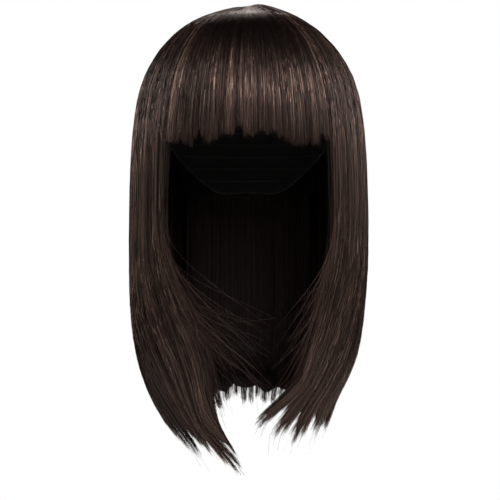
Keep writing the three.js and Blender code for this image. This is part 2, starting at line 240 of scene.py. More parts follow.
@dataclass
class Hairstyle:
    """The form of the whole wig: its sizes and the surfaces that every section shares."""

    head_breadth: float = 152 * MM
    head_length: float = 190 * MM
    head_rise: float = 92 * MM
    side_volume: float = 27 * MM
    front_volume: float = 11 * MM
    back_volume: float = 21 * MM
    crown_lift: float = 10 * MM
    crown_middle: float = 9.7 * MM
    crown_fall: float = 3.5 * MM
    crown_slope: float = 40 * MM
    curtain_length: float = 302 * MM
    parting_front: float = 12 * MM
    parting_back: float = 30 * MM
    parting_depth: float = 5 * MM
    parting_half_width: float = 1.2 * MM
    parting_offset: float = -5.6 * MM
    parting_ridge: float = 1.2 * MM
    cap_wall: float = 1.6 * MM
    lock_relief: float = 2.6 * MM
    hook_above: float = 0.14
    hook_below: float = 0.03
    longest_strand: float = 306 * MM
    ridge_until: float = 5.0
    crown_until: float = 6.0
    level_samples: int = 1200
    ring_samples: int = 200
    sections: Table = field(init=False)
    fall: Table = field(init=False)

    def __post_init__(self) -> None:
        """Turns the share tables into lengths."""
        side = self.half_breadth
        front = self.head_length / 2 + self.front_volume - self.parting_front
        back = self.head_length / 2 + self.back_volume - self.parting_back
        offset = self.parting_offset / side
        rows = [SectionRow(self.parting_depth, self.parting_half_width / side, 0, 0, offset)]
        rows += [row._replace(drop=row.drop * self.dome_depth) for row in DOME_ROWS]
        rows += [
            row._replace(drop=self.dome_depth + row.drop * self.curtain_length)
            for row in CURTAIN_ROWS
        ]
        values = np.array(rows)
        self.sections = Table(
            np.arange(len(rows), dtype=float),
            {
                "drop": values[:, 0],
                "side": values[:, 1] * side,
                "front": self.parting_front + values[:, 2] * front,
                "back": self.parting_back + values[:, 3] * back,
                "centre": values[:, 4] * side,
            },
        )
        falls = np.array(FALL_ROWS)
        names = FallRow._fields
        self.fall = Table(falls[:, 0], {name: falls[:, i] for i, name in enumerate(names)})

    @property
    def half_breadth(self) -> float:
        """Half the breadth of the hair at its widest."""
        return self.head_breadth / 2 + self.side_volume

    @property
    def dome_depth(self) -> float:
        """How far the widest level of the head lies below the top of the hair."""
        return self.head_rise + self.crown_lift

    def drop(self, level: np.ndarray) -> np.ndarray:
        """How far a level lies below the top of the hair."""
        return self.sections.read("drop", level)

    def level_at(self, drop: np.ndarray) -> np.ndarray:
        """The level that lies a given drop below the top of the hair."""
        levels = np.linspace(1, self.sections.at[-1], self.level_samples)
        return np.interp(drop, self.drop(levels), levels)

    def ring(self, level: np.ndarray) -> np.ndarray:
        """The mean breadth of the ring of hair at a level, which its length follows."""
        read = self.sections.read
        return read("side", level) + (read("front", level) + read("back", level)) / 2

    def share_of_ring(self, level: np.ndarray) -> np.ndarray:
        """How long the ring of hair at a level is, as a share of the longest ring."""
        levels = np.linspace(0, self.sections.at[-1], self.ring_samples)
        return self.ring(level) / self.ring(levels).max()

    def oval(
        self, azimuth: np.ndarray, level: np.ndarray, outwards: np.ndarray, z: np.ndarray
    ) -> np.ndarray:
        """Points of the oval sections.

        Args:
            azimuth: degrees from the front, positive towards +X.
            level: the section of each point.
            outwards: how far the section is brought outwards there.
            z: the height of each point.

        Returns:
            The points, with x, y and z along the last axis.
        """
        read = self.sections.read
        angle = np.radians(azimuth)
        forward = np.cos(angle)
        reach = np.where(forward >= 0, read("front", level), read("back", level)) + outwards
        x = read("centre", level) + (read("side", level) + outwards) * np.sin(angle)
        return np.stack([x, -reach * forward, z + 0 * x], -1)

    def swept(self, azimuth: np.ndarray, drop: np.ndarray) -> np.ndarray:
        """Where a strand rooted at an azimuth has swept to at a drop."""
        turn = wrapped(azimuth)
        below = (drop - self.dome_depth) / self.curtain_length
        read = self.fall.read
        eased = smooth(below, read("start", turn), read("stop", turn))
        hem = read("hem", turn)
        near_tip = smooth(below, hem - self.hook_above, hem + self.hook_below)
        swing = read("sweep", turn) * eased + read("hook", turn) * near_tip
        return azimuth - np.sign(turn) * swing

    def outer(self, azimuth: np.ndarray, level: np.ndarray, raised: np.ndarray) -> np.ndarray:
        """The outer surface of the hair, raised by a relief."""
        drop = self.drop(level)
        over_ridge = 1 - smooth(level, 1, self.ridge_until)
        ridge = self.parting_ridge * np.sin(np.radians(azimuth)) * over_ridge
        z = self.crown_lift - drop + ridge
        points = self.oval(self.swept(azimuth, drop), level, raised, z)
        sloped = smooth(np.abs(points[..., 1] - self.crown_middle), 0, self.crown_slope)
        points[..., 2] -= self.crown_fall * sloped * (1 - smooth(level, 1, self.crown_until))
        return points

    def on_cap(self, azimuth: np.ndarray, level: np.ndarray, clearance: float) -> np.ndarray:
        """The points of the cap's outside, plus a clearance, that lie under the hair."""
        height = np.maximum(self.crown_lift - self.drop(level) + self.head_rise, 0)
        grown = np.array([self.head_breadth / 2, self.head_length / 2, self.head_rise])
        grown = grown + self.cap_wall + clearance
        points = self.oval(azimuth, level, 0 * level, height) / grown
        points /= np.linalg.norm(points, axis=-1, keepdims=True)
        return points * grown - np.array([0, 0, self.head_rise])

    def hem(self, azimuth: np.ndarray) -> np.ndarray:
        """Where the fall ends the hair at an azimuth, as a share of the curtain's length."""
        return self.fall.read("hem", wrapped(azimuth))


@dataclass
class LockRow:
    """The locks of one section, side by side."""

    start: float
    notch: float
    locks: tuple[Lock, ...]
    samples: int = 33
    pointing: float = 2.4

    def __post_init__(self) -> None:
        """Works out relief and length on a fine row of azimuths."""
        turn = 1 if self.locks[-1].to > self.start else -1
        azimuths, reliefs, tips, points = [], [], [], []
        start, gap = self.start, self.notch
        for lock in self.locks:
            s = np.linspace(0, 1, self.samples)
            hump = np.sqrt(np.maximum(np.sin(math.pi * s), 0))
            nearest = np.where(s < 0.5, gap, lock.notch)
            azimuths.append(start + s * (lock.to - start))
            reliefs.append(lock.rise * hump)
            tips.append(mix(-nearest, lock.tip, hump))
            points.append(mix(-nearest, lock.tip, hump**self.pointing))
            start, gap = lock.to, lock.notch
        self.azimuths = np.concatenate(azimuths)[::turn]
        self.reliefs = np.concatenate(reliefs)[::turn]
        self.tips = np.concatenate(tips)[::turn]
        self.points = np.concatenate(points)[::turn]
        bounds = np.array([self.start] + [lock.to for lock in self.locks])
        self.bounds = bounds[::turn]

    def relief(self, azimuth: np.ndarray) -> np.ndarray:
        """The relief of the locks, from 0 in a gap to about 1 on a crest."""
        return np.interp(azimuth, self.azimuths, self.reliefs)

    def tip(self, azimuth: np.ndarray, pointed: bool = False) -> np.ndarray:
        """How far the hair passes its hem, negative in a notch."""
        return np.interp(azimuth, self.azimuths, self.points if pointed else self.tips)


FRINGE_LOCKS = LockRow(
    -FACE_EDGE,
    0.02,
    (
        Lock(-34, 0.005, 0.01, 0.8),
        Lock(-24.5, 0.0, 0.13, 0.9),
        Lock(-14, 0.012, 0.015, 1.0),
        Lock(-4.6, 0.0, 0.1, 0.8),
        Lock(6, 0.008, 0.02, 1.0),
        Lock(16.5, -0.004, 0.015, 0.8),
        Lock(27.5, 0.01, 0.02, 1.0),
        Lock(38.6, 0.006, 0.09, 0.9),
        Lock(FACE_EDGE, -0.01, 0.03, 0.6),
    ),
)
RIGHT_CHEEK_LOCKS = LockRow(
    -FACE_EDGE,
    0.1,
    (
        Lock(-55, 0.0, 0.1, 1.1),
        Lock(-66, -0.005, 0.07, 0.9),
        Lock(-78, -0.03, 0.1, 1.1),
        Lock(-90, 0.0, 0.06, 0.9),
        Lock(-102, 0.0, 0.09, 1.0),
        Lock(-115, 0.0, 0.04, 0.9),
    ),
)
LEFT_CHEEK_LOCKS = LockRow(
    FACE_EDGE,
    0.06,
    (
        Lock(55, 0.0, 0.1, 1.1),
        Lock(67, 0.01, 0.05, 0.9),
        Lock(79, 0.015, 0.08, 1.0),
        Lock(91, 0.0, 0.1, 1.1),
        Lock(103, 0.0, 0.06, 0.9),
        Lock(115, 0.0, 0.04, 1.0),
    ),
)
BACK_LOCKS = LockRow(
    115,
    0.04,
    (
        Lock(130, 0.0, 0.03, 0.9),
        Lock(144, 0.01, 0.05, 1.0),
        Lock(158, 0.0, 0.03, 0.8),
        Lock(172, 0.012, 0.04, 1.0),
        Lock(187, 0.0, 0.05, 0.9),
        Lock(201, 0.01, 0.03, 1.0),
        Lock(216, 0.0, 0.05, 0.8),
        Lock(231, 0.008, 0.03, 1.0),
        Lock(245, 0.0, 0.04, 0.9),
    ),
)


@dataclass
class Noise:
    """Smooth random values along one axis, the same on each run."""

    seed: int
    pitch: float
    spread: float = 900.0
    count: int = 4096

    def at(self, x: np.ndarray) -> np.ndarray:
        """Values from -1 to 1 that change over about one pitch."""
        values = np.random.default_rng(self.seed).uniform(-1, 1, self.count)
        place = np.asarray(x) / self.pitch + self.count / 2
        low = np.floor(place).astype(int)
        share = smooth(place - low, 0, 1)
        return mix(values[low % self.count], values[(low + 1) % self.count], share)

    def apart(self, x: np.ndarray, strands: int, rng: np.random.Generator) -> np.ndarray:
        """Values that each strand reads from a place of its own.

        Args:
            x: the places along each strand.
            strands: how many strands there are.
            rng: the random numbers.

        Returns:
            Values from -1 to 1 by strand and place.
        """
        return self.at(x + rng.uniform(0, self.spread, (strands, 1)))


@dataclass
class Strands:
    """A bundle of strands as centre lines, ready to be made one mesh of arched strips."""

    points: np.ndarray
    normals: np.ndarray
    widths: np.ndarray
    tones: np.ndarray
    ribbon: Ribbon = Ribbon.ARCHED
    arch: float = 0.32
    roll: float = 0.42
    strip_slenderness: float = 260.0
    strip_side_margin: float = 0.1
    strip_end_margin: float = 0.03

    def rings(self, seed: int) -> np.ndarray:
        """Works out the edge points of every strip.

        Args:
            seed: the seed of the small roll of each strand about its own line.

        Returns:
            The points by strand, by place along it and by place across it.
        """
        tangents = unit(np.gradient(self.points, axis=1))
        across = unit(np.cross(tangents, self.normals))
        out = np.cross(across, tangents)
        roll = np.random.default_rng(seed).normal(0, self.roll, (len(self.points), 1, 1))
        across, out = (
            across * np.cos(roll) + out * np.sin(roll),
            out * np.cos(roll) - across * np.sin(roll),
        )
        half = self.widths[..., None] / 2
        match self.ribbon:
            case Ribbon.FLAT:
                corners = [self.points - across * half, self.points + across * half]
            case Ribbon.ARCHED:
                crest = self.points + out * half * 2 * self.arch
                corners = [self.points - across * half, crest, self.points + across * half]
            case Ribbon.ROUND:
                turns = np.radians(90 + 120 * np.arange(3))
                corners = [
                    self.points + half * (across * math.cos(a) + out * math.sin(a)) for a in turns
                ]
        return np.stack(corners, 2)

    def mesh(self, name: str, seed: int) -> bpy.types.Mesh:
        """Joins all strands in one mesh, with their tones and a map of one strip each.

        Args:
            name: the mesh's name.
            seed: the seed of the strands' small rolls.

        Returns:
            The mesh.
        """
        rings = self.rings(seed)
        count, steps, corners, _ = rings.shape
        numbers = np.arange(count * steps * corners).reshape(count, steps, corners)
        faces = []
        for a in range(self.ribbon.value):
            b = (a + 1) % corners
            near, far = numbers[:, :-1], numbers[:, 1:]
            faces.append(np.stack([near[..., b], near[..., a], far[..., a], far[..., b]], -1))
        quads = np.stack(faces, 2).reshape(-1, 4)
        mesh = bpy.data.meshes.new(name)
        mesh.vertices.add(rings.size // 3)
        mesh.vertices.foreach_set("co", rings.astype(np.float32).ravel())
        mesh.loops.add(quads.size)
        mesh.loops.foreach_set("vertex_index", quads.astype(np.int32).ravel())
        mesh.polygons.add(len(quads))
        mesh.polygons.foreach_set("loop_start", np.arange(0, quads.size, 4, dtype=np.int32))
        mesh.update(calc_edges=True)
        mesh.polygons.foreach_set("use_smooth", np.ones(len(quads), bool))
        tone = np.repeat(self.tones[..., None], corners, -1).astype(np.float32)
        mesh.attributes.new(TONE, "FLOAT", "POINT").data.foreach_set("value", tone.ravel())
        self.map_strips(mesh, quads, (count, steps, corners))
        mesh.validate()
        return mesh

    def map_strips(
        self, mesh: bpy.types.Mesh, quads: np.ndarray, shape: tuple[int, int, int]
    ) -> None:
        """Gives each strand its own upright strip of a square map.

        Args:
            mesh: the strands' mesh.
            quads: the corners of each face, by vertex.
            shape: how many strands, places along and places across there are.
        """
        count, steps, corners = shape
        columns = self.ribbon.value
        rows = max(1, round(math.sqrt(count / self.strip_slenderness)))
        per_row = math.ceil(count / rows)
        strand = quads // (steps * corners)
        along = quads // corners % steps
        across = (quads % corners).astype(float)
        if columns == corners:
            wraps = across.max(1) - across.min(1) > 1.5
            across[wraps] = np.where(across[wraps] < 0.5, corners, across[wraps])
        u = mix(self.strip_side_margin, 1 - self.strip_side_margin, across / columns)
        u = (strand % per_row + u) / per_row
        v = mix(1 - self.strip_end_margin, self.strip_end_margin, along / (steps - 1))
        v = (strand // per_row + v) / rows
        layer = mesh.uv_layers.new(name=STRIP_MAP)
        layer.data.foreach_set("uv", np.stack([u, v], -1).astype(np.float32).ravel())


def hollow_wall(name: str, outer: np.ndarray, inner: np.ndarray) -> bpy.types.Object:
    """Models a closed wall: a grid laid on the outside, thickened, its back laid on the inside.

    Args:
        name: the piece's name.
        outer: the points of the outside, in rows from the hem up and columns towards +X.
        inner: the points of the inside, in the same order.

    Returns:
        The wall.
    """
    rows, columns = outer.shape[:2]
    deselect_all()
    bpy.ops.mesh.primitive_grid_add(x_subdivisions=columns - 1, y_subdivisions=rows - 1, size=1)
    piece = bpy.context.object
    piece.name = piece.data.name = name
    place_points(piece.data, outer.reshape(-1, 3))
    back = piece.modifiers.new("back", "SOLIDIFY")
    back.thickness = 1 * MM
    bpy.ops.object.modifier_apply(modifier=back.name)
    place_points(piece.data, np.concatenate([outer.reshape(-1, 3), inner.reshape(-1, 3)]))
    bpy.ops.object.shade_smooth_by_angle(angle=SHARP_EDGE)
    return piece


def place_points(mesh: bpy.types.Mesh, points: np.ndarray) -> None:
    """Moves every vertex of a mesh to its place."""
    mesh.vertices.foreach_set("co", points.astype(np.float32).ravel())
    mesh.update()


def deselect_all() -> None:
    """Leaves nothing selected, in object mode."""
    if bpy.context.object and bpy.context.object.mode != "OBJECT":
        bpy.ops.object.mode_set(mode="OBJECT")
    bpy.ops.object.select_all(action="DESELECT")


def surface_normals(
    place: Callable[[np.ndarray, np.ndarray], np.ndarray], azimuth: np.ndarray, level: np.ndarray
) -> np.ndarray:
    """Outward normals of a surface, by small steps over it.

    Args:
        place: gives the surface's points from azimuth and level.
        azimuth: degrees from the front.
        level: the level of each point.

    Returns:
        Unit normals.
    """
    over = place(azimuth + TURN_STEP, level) - place(azimuth - TURN_STEP, level)
    above = np.maximum(level - LEVEL_STEP, 0)
    down = place(azimuth, level + LEVEL_STEP) - place(azimuth, above)
    return unit(np.cross(down, over))


@dataclass(frozen=True)
class Combing:
    """How the strands of every section lie: where they start, how they waver and how high."""

    root_inset: float = 0.1
    inset: float = 0.05
    fine_depth: float = 0.35
    depth_power: float = 0.8
    lowest_root: float = 12.0
    root_samples: int = 240
    from_parting: float = 0.09
    bunched: float = 0.06
    waver: float = 0.45
    waver_at_root: float = 0.3
    waver_pace: float = 1.3
    waver_pitch: float = 0.5
    thin_tufts: float = 3.5
    thin_pull: float = 0.7
    thin_pull_over: tuple[float, float] = (0.25, 0.8)
    pull_from: float = 0.6
    pull_spread: tuple[float, float] = (0.75, 1.15)
    pull_most: float = 1.04
    streak_pitch: float = 0.9
    streak_drift: float = 0.25
    streak_pace: float = 0.3
    streak_place: float = 40.0
    ripple_pace: float = 4.0
    relief: float = 0.5
    crest: float = 0.5 * MM
    sunk: float = 1.4 * MM
    fine_lift: float = 0.15 * MM
    streak_lift: float = 0.3 * MM
    ripple_lift: float = 0.16 * MM
    tucked: float = 1.1 * MM
    tucked_over: float = 0.8
    tucked_below: float = 0.2
    frayed: float = 0.7 * MM
    frayed_from: float = 0.7
    taper: float = 0.8
    taper_from: float = 0.72
    width_spread: tuple[float, float] = (0.6, 1.25)
    tuft_spread: tuple[float, float] = (0.5, 1.5)
    layered_share: float = 0.3
    layered_scale: float = 0.5
    follows_tuft: float = 0.6
    point_power: float = 1.3
    uneven_end: float = 1.6 * MM
    wisp_length: float = 5 * MM


@dataclass(frozen=True)
class Toning:
    """How much each cause lightens or darkens a strand, on a scale from 0 to 1, painted light and
    shade among them.
    """

    middle: float = 0.4
    broad: float = 0.07
    broad_pitch: float = 4.5
    fine: float = 0.14
    fine_pitch: float = 0.55
    streak: float = 0.12
    along: float = 0.08
    along_pitch: float = 2.4
    along_spread: float = 500.0
    bright_share: float = 0.07
    bright: tuple[float, float] = (0.2, 0.6)
    # Where the painted light on the ends begins.
    ends_from: float = 0.84
    # Painted shade on the crown: the dark tone it brings the crown to, where it fades, how it
    # slants and how much less it falls on the sides.
    deep: float = 0.14
    deep_contrast: float = 0.16
    crown_fades: tuple[float, float] = (6.4, 8.6)
    crown_slant: float = 0.024
    crown_sides: float = 0.55
    crown_sides_over: tuple[float, float] = (18.0, 36.0)
    # Painted light on the upper dome: where it rises and where it fades.
    painted_crown_light_rises: tuple[float, float] = (1.0, 3.5)
    painted_crown_light_fades: tuple[float, float] = (7.5, 10.5)
    # Painted bands round the dome: a painted shade and a slanted painted highlight.
    band_level: float = 9.6
    band_slant: float = 0.035
    painted_band_shade_width: float = 2.2
    painted_band_highlight_width: float = 1.2
    # Painted highlight on strands beside the border of fringe and cheek, a painted dark line of
    # shade on that border, and painted shade low beside the face opening.
    edge_caught: float = 0.7
    painted_edge_highlight_at: float = 1.6
    painted_edge_highlight_width: float = 1.1
    painted_edge_highlight_lost: float = 0.85
    painted_edge_highlight_fades: tuple[float, float] = (9.5, 12.5)
    edge_line_shade: float = 0.4
    edge_line_shade_width: float = 0.6
    edge_shade: float = 0.25
    edge_shade_width: float = 3.5
    edge_shade_rises: tuple[float, float] = (13.0, 17.0)
    # Painted shade on the low hair of one lock.
    shaded: float = 0.9
    shaded_tone: float = 0.1
    shaded_contrast: float = 0.2
    shaded_width: float = 15.0
    shaded_rises: tuple[float, float] = (17.5, 20.3)
    # Painted shade on the deeper strands.
    depth_shade: float = 0.25


@dataclass
class HairSection:
    """One section of the hair: a soft mass that replaces its solid, and strands over it."""

    style: Hairstyle
    node: str
    locks: LockRow
    strands: int
    steps: int
    seed: int
    length: float = 0.0
    corner_droop: float = 0.0
    corner_droops_over: tuple[float, float] = (4.0, 26.0)
    wall: float = 9 * MM
    edge_wall: float = 3.2 * MM
    edge_wall_over: float = 24.0
    tip_wall: float = 1.2 * MM
    tip_wall_from: float = 0.45
    cap_clearance: float = 1 * MM
    leaves_at: float = 102 * MM
    leaves_over: float = 42 * MM
    width: float = 0.7 * MM
    fine_strands: int = 2200
    fine_width: float = 0.36 * MM
    # Painted shade on the crown.
    painted_crown_shade: float = 0.0
    contrast: float = 0.33
    # Painted light on the upper dome.
    painted_crown_light: float = 0.18
    # Painted shade in a band round the dome, and a painted highlight in a slanted band.
    painted_band_shade: float = 0.0
    painted_band_highlight: float = 0.0
    # The azimuth of a low lock with painted shade on it, if any.
    shaded_lock: float | None = None
    # Painted light on the ends of the strands.
    painted_end_light: float = 0.24
    clump: float = 0.88
    tuft_width: float = 4.0
    pointed: float = 22 * MM
    short: float = 0.0
    filled: float = 0.0
    raggedness: float = 4 * MM
    drift: float = 0.7
    layered: float = 34 * MM
    mass_rows: int = 44
    mass_pitch: float = 1.6
    mass_depth: float = 0.9 * MM
    mass_lining: float = 0.12
    mass_short: float = 10 * MM
    mass_pointed: bool = True
    wisps: float = 0.04
    # Painted highlight on strands beside the border of fringe and cheek.
    painted_edge_highlight: float = 0.7
    inner_strands: int = 0
    inner_steps: int = 10
    inner_inset: float = 0.6
    inner_starts: tuple[float, float] = (-4.0, 30.0)
    inner_short: float = 2 * MM
    inner_ragged: float = 9.0
    inner_waver: float = 0.6
    inner_lift: tuple[float, float] = (-0.1, 0.5)
    inner_depth: float = 0.6
    inner_taper_from: float = 0.8
    # Painted shade: the inner strands' tones are scaled down by this.
    inner_painted_shade: float = 0.45
    # Painted light on the ends of the inner strands, and where it rises.
    inner_painted_end_light: float = 0.0
    inner_painted_end_light_over: tuple[float, float] = (0.78, 0.95)
    combing: Combing = field(default_factory=Combing)
    toning: Toning = field(default_factory=Toning)

    @property
    def span(self) -> tuple[float, float]:
        """The azimuths between which the section lies, the lower first."""
        return float(self.locks.bounds[0]), float(self.locks.bounds[-1])

    def end_drop(self, azimuth: np.ndarray, pointed: bool = False) -> np.ndarray:
        """Where the hair rooted at an azimuth ends, below the top of the hair."""
        tip = self.locks.tip(azimuth, pointed)
        tip = np.where(tip < 0, tip * (1 - self.filled), tip)
        if self.length:
            droop = self.corner_droop * smooth(np.abs(azimuth), *self.corner_droops_over)
            return self.length * (1 + tip) + droop
        return self.style.dome_depth + self.style.curtain_length * np.minimum(
            self.style.hem(azimuth) + tip, 1
        )

    def relief_at(self, azimuth: np.ndarray, level: np.ndarray, share: float) -> np.ndarray:
        """The height of the locks, 0 on a crest, as a share of their relief in the solid."""
        full = self.style.sections.read("side", level) / self.style.half_breadth
        return (self.locks.relief(azimuth) - 1) * self.style.lock_relief * share * full**2

    def inner(self, azimuth: np.ndarray, level: np.ndarray, share: np.ndarray) -> np.ndarray:
        """The inner surface of the wall: on the cap, then hanging free.

        Args:
            azimuth: degrees from the front.
            level: the level of each point.
            share: how far along its column each point lies.

        Returns:
            The points.
        """
        drop = self.style.drop(level)
        thinning = smooth(share, self.tip_wall_from, 1)
        edge = abs(self.locks.start)
        from_face = smooth(np.abs(azimuth), edge, edge + self.edge_wall_over)
        full = mix(min(self.wall, self.edge_wall), self.wall, from_face)
        thickness = mix(full, self.tip_wall, thinning) + self.style.lock_relief * (1 - thinning / 2)
        hanging = smooth(drop, self.leaves_at, self.leaves_at + self.leaves_over)[..., None]
        seated = self.style.on_cap(azimuth, level, self.cap_clearance)
        z = self.style.crown_lift - drop
        free = self.style.oval(self.style.swept(azimuth, drop), level, -thickness, z)
        return mix(seated, free, hanging)

    def mass(self) -> bpy.types.Object:
        """Makes the soft mass under the strands, a closed wall just under the solid's outside.

        Returns:
            The mass.
        """
        low, high = self.span
        columns = round((high - low) / self.mass_pitch)
        azimuth = np.linspace(low, high, columns + 1)[None, :]
        ends = self.style.level_at(self.end_drop(azimuth, self.mass_pointed) - self.mass_short)
        share = np.linspace(1, 0, self.mass_rows + 1)[:, None] + 0 * azimuth
        level = share * ends
        spread = azimuth + 0 * level
        raised = self.relief_at(spread, level, 1.0) - self.mass_depth
        outer = self.style.outer(spread, level, raised)
        inner = mix(self.inner(spread, level, share), outer, self.mass_lining)
        return hollow_wall(f"{self.node}_mass", outer, inner)

    def lay_strands(self, layer: Layer) -> Strands:
        """Lays strands over the outer surface, from the parting or from under the top layer.

        Args:
            layer: the layer that is laid.

        Returns:
            The strands.
        """
        fine = layer is Layer.FINE
        comb, style = self.combing, self.style
        rng = np.random.default_rng(self.seed + layer.value)
        count, low, high = self.fine_strands if fine else self.strands, *self.span
        one = (count, 1)
        root = rng.uniform(low + comb.root_inset, high - comb.root_inset, one)
        if fine:
            depth = rng.uniform(0, comb.fine_depth, one)
        else:
            depth = rng.uniform(0, 1, one) ** comb.depth_power
        levels = np.linspace(0, comb.lowest_root, comb.root_samples)
        first = np.interp(rng.uniform(0, 1, one), style.share_of_ring(levels), levels)
        first[rng.uniform(0, 1, one) < comb.from_parting] = 0
        centre, passing = self.tufts(root, self.tuft_width, self.raggedness, rng)
        thin, _ = self.tufts(root, self.tuft_width / comb.thin_tufts, 0, rng)
        last = self.ends_of(root, centre, passing, depth, rng)
        even = np.linspace(0, 1, self.steps + 1)[None, :]
        t = even - comb.bunched * np.sin(2 * math.pi * even)
        level = first + (last - first) * t
        level[first[:, 0] == 0, 1] = 1
        own = Noise(self.seed + Draw.WAVER.value, comb.waver_pitch)
        wander = own.apart(t * comb.waver_pace, count, rng)
        wander = comb.waver * wander * (comb.waver_at_root + t)
        gathered = mix(root, thin, comb.thin_pull * smooth(t, *comb.thin_pull_over))
        pull = np.minimum(rng.uniform(*comb.pull_spread, one), comb.pull_most)
        pull = self.clump * smooth(t, comb.pull_from, 1) * pull
        azimuth = mix(gathered, centre, pull) + wander + rng.normal(0, self.drift, one) * t
        azimuth = np.clip(azimuth, low + comb.inset, high - comb.inset)
        strayed = comb.streak_drift * t * own.at(level * comb.streak_pace + comb.streak_place)
        streak = Noise(self.seed + Draw.STREAK.value, comb.streak_pitch).at(root + strayed)
        emerging = (first > comb.tucked_below) * (1 - smooth(level - first, 0, comb.tucked_over))
        raised = (
            self.relief_at(azimuth, level, comb.relief)
            + comb.crest
            - comb.sunk * depth
            + comb.fine_lift * fine
            + comb.streak_lift * streak
            + comb.ripple_lift * own.apart(t * comb.ripple_pace, count, rng)
            - comb.tucked * emerging
            + comb.frayed * rng.normal(0, 1, one) * smooth(t, comb.frayed_from, 1)
        )
        points = style.outer(azimuth, level, raised)
        normals = surface_normals(lambda a, b: style.outer(a, b, 0 * b), azimuth, level)
        taper = 1 - comb.taper * smooth(t, comb.taper_from, 1)
        width = self.fine_width if fine else self.width
        widths = width * taper * rng.uniform(*comb.width_spread, one) + 0 * level
        tones = self.tones_of(root, level, depth, streak, rng)
        return Strands(points, normals, widths, tones, Ribbon.FLAT if fine else Ribbon.ARCHED)

    def tufts(
        self, root: np.ndarray, width: float, ragged: float, rng: np.random.Generator
    ) -> tuple[np.ndarray, np.ndarray]:
        """Gathers strands into tufts of uneven width.

        Args:
            root: the azimuth of each strand.
            width: about how wide a tuft is, in degrees.
            ragged: by how much tufts differ in length.
            rng: the random numbers.

        Returns:
            The azimuth that each strand gathers to, and how far its tuft passes its hem.
        """
        low, high = self.span
        steps = rng.uniform(*self.combing.tuft_spread, math.ceil((high - low) / width))
        borders = low + (high - low) * np.concatenate([[0], np.cumsum(steps) / steps.sum()])
        number = np.clip(np.searchsorted(borders, root) - 1, 0, len(steps) - 1)
        centre = (borders[number] + borders[number + 1]) / 2
        return centre, rng.normal(0, 1, len(steps))[number] * ragged

    def ends_of(
        self,
        root: np.ndarray,
        centre: np.ndarray,
        passing: np.ndarray,
        depth: np.ndarray,
        rng: np.random.Generator,
    ) -> np.ndarray:
        """Works out the level at which each strand ends.

        Args:
            root: the azimuth of each strand.
            centre: the azimuth of its tuft.
            passing: how far its tuft passes the hem.
            depth: how deep the strand lies, from 0 to 1.
            rng: the random numbers.

        Returns:
            The levels.
        """
        comb, one = self.combing, root.shape
        layered = rng.uniform(0, 1, one) < comb.layered_share
        shorter = layered * rng.exponential(comb.layered_scale, one) * self.layered * depth
        hem = mix(self.end_drop(root), self.end_drop(centre), comb.follows_tuft)
        aside = np.abs(root - centre) / self.tuft_width
        ends = hem + passing - self.short - shorter - self.pointed * aside**comb.point_power
        ends += rng.normal(0, comb.uneven_end, one)
        ends += (rng.uniform(0, 1, one) < self.wisps) * rng.exponential(comb.wisp_length, one)
        longest = self.style.dome_depth + self.style.longest_strand
        return self.style.level_at(np.minimum(ends, longest))

    def tones_of(
        self,
        root: np.ndarray,
        level: np.ndarray,
        depth: np.ndarray,
        streak: np.ndarray,
        rng: np.random.Generator,
    ) -> np.ndarray:
        """How light each strand is, from 0 to 1, in streaks a few strands wide, with painted light
        and shade.

        Args:
            root: the azimuth of each strand.
            level: the level of each point.
            depth: how deep each strand lies, from 0 to 1.
            streak: how far the streak that holds the strand stands out, from -1 to 1.
            rng: the random numbers.

        Returns:
            The tones by strand and point.
        """
        paint = self.toning
        tone = self.streaked(root, level, streak, rng)
        tone = self.banded(tone, root, level)
        tone = self.edged(tone, root, level, rng)
        # Painted shade on the low hair round one lock.
        if self.shaded_lock is not None:
            near = bell(root - self.shaded_lock, paint.shaded_width)
            near = paint.shaded * near * smooth(level, *paint.shaded_rises)
            tone = mix(tone, paint.shaded_tone + paint.shaded_contrast * tone, near)
        # Painted shade on the deeper strands.
        return np.clip(tone - paint.depth_shade * depth, 0, 1)

    def streaked(
        self,
        root: np.ndarray,
        level: np.ndarray,
        streak: np.ndarray,
        rng: np.random.Generator,
    ) -> np.ndarray:
        """The tones of single strands and of streaks, with painted light towards the ends.

        Args:
            root: the azimuth of each strand.
            level: the level of each point.
            streak: how far the streak that holds the strand stands out, from -1 to 1.
            rng: the random numbers.

        Returns:
            The tones by strand and point.
        """
        paint, one = self.toning, root.shape
        own = rng.normal(0, self.contrast, one)
        broad = Noise(self.seed + Draw.BROAD.value, paint.broad_pitch).at(root)
        fine = Noise(self.seed + Draw.FINE.value, paint.fine_pitch).at(root)
        patches = Noise(self.seed + Draw.PATCHES.value, paint.along_pitch, paint.along_spread)
        along = patches.apart(level, len(root), rng)
        bright = (rng.uniform(0, 1, one) < paint.bright_share) * rng.uniform(*paint.bright, one)
        return (
            paint.middle
            + paint.broad * broad
            + paint.fine * fine
            + paint.streak * streak
            + own
            + paint.along * along
            + bright
            # Painted light on the ends.
            + self.painted_end_light * smooth(level / level[:, -1:], paint.ends_from, 1)
        )

    def banded(self, tone: np.ndarray, root: np.ndarray, level: np.ndarray) -> np.ndarray:
        """Paints shade on the crown, light on the dome, and bands of shade and highlight round it.

        Args:
            tone: the tones so far.
            root: the azimuth of each strand.
            level: the level of each point.

        Returns:
            The tones by strand and point.
        """
        paint = self.toning
        # Painted shade on the crown.
        dark = 1 - smooth(level - paint.crown_slant * root, *paint.crown_fades)
        aside = paint.crown_sides * smooth(np.abs(root), *paint.crown_sides_over)
        deep = paint.deep + paint.deep_contrast * tone
        tone = mix(tone, deep, self.painted_crown_shade * dark * (1 - aside))
        # Painted light on the upper dome.
        fading = 1 - smooth(level, *paint.painted_crown_light_fades)
        tone = tone + self.painted_crown_light * smooth(level, *paint.painted_crown_light_rises) * fading
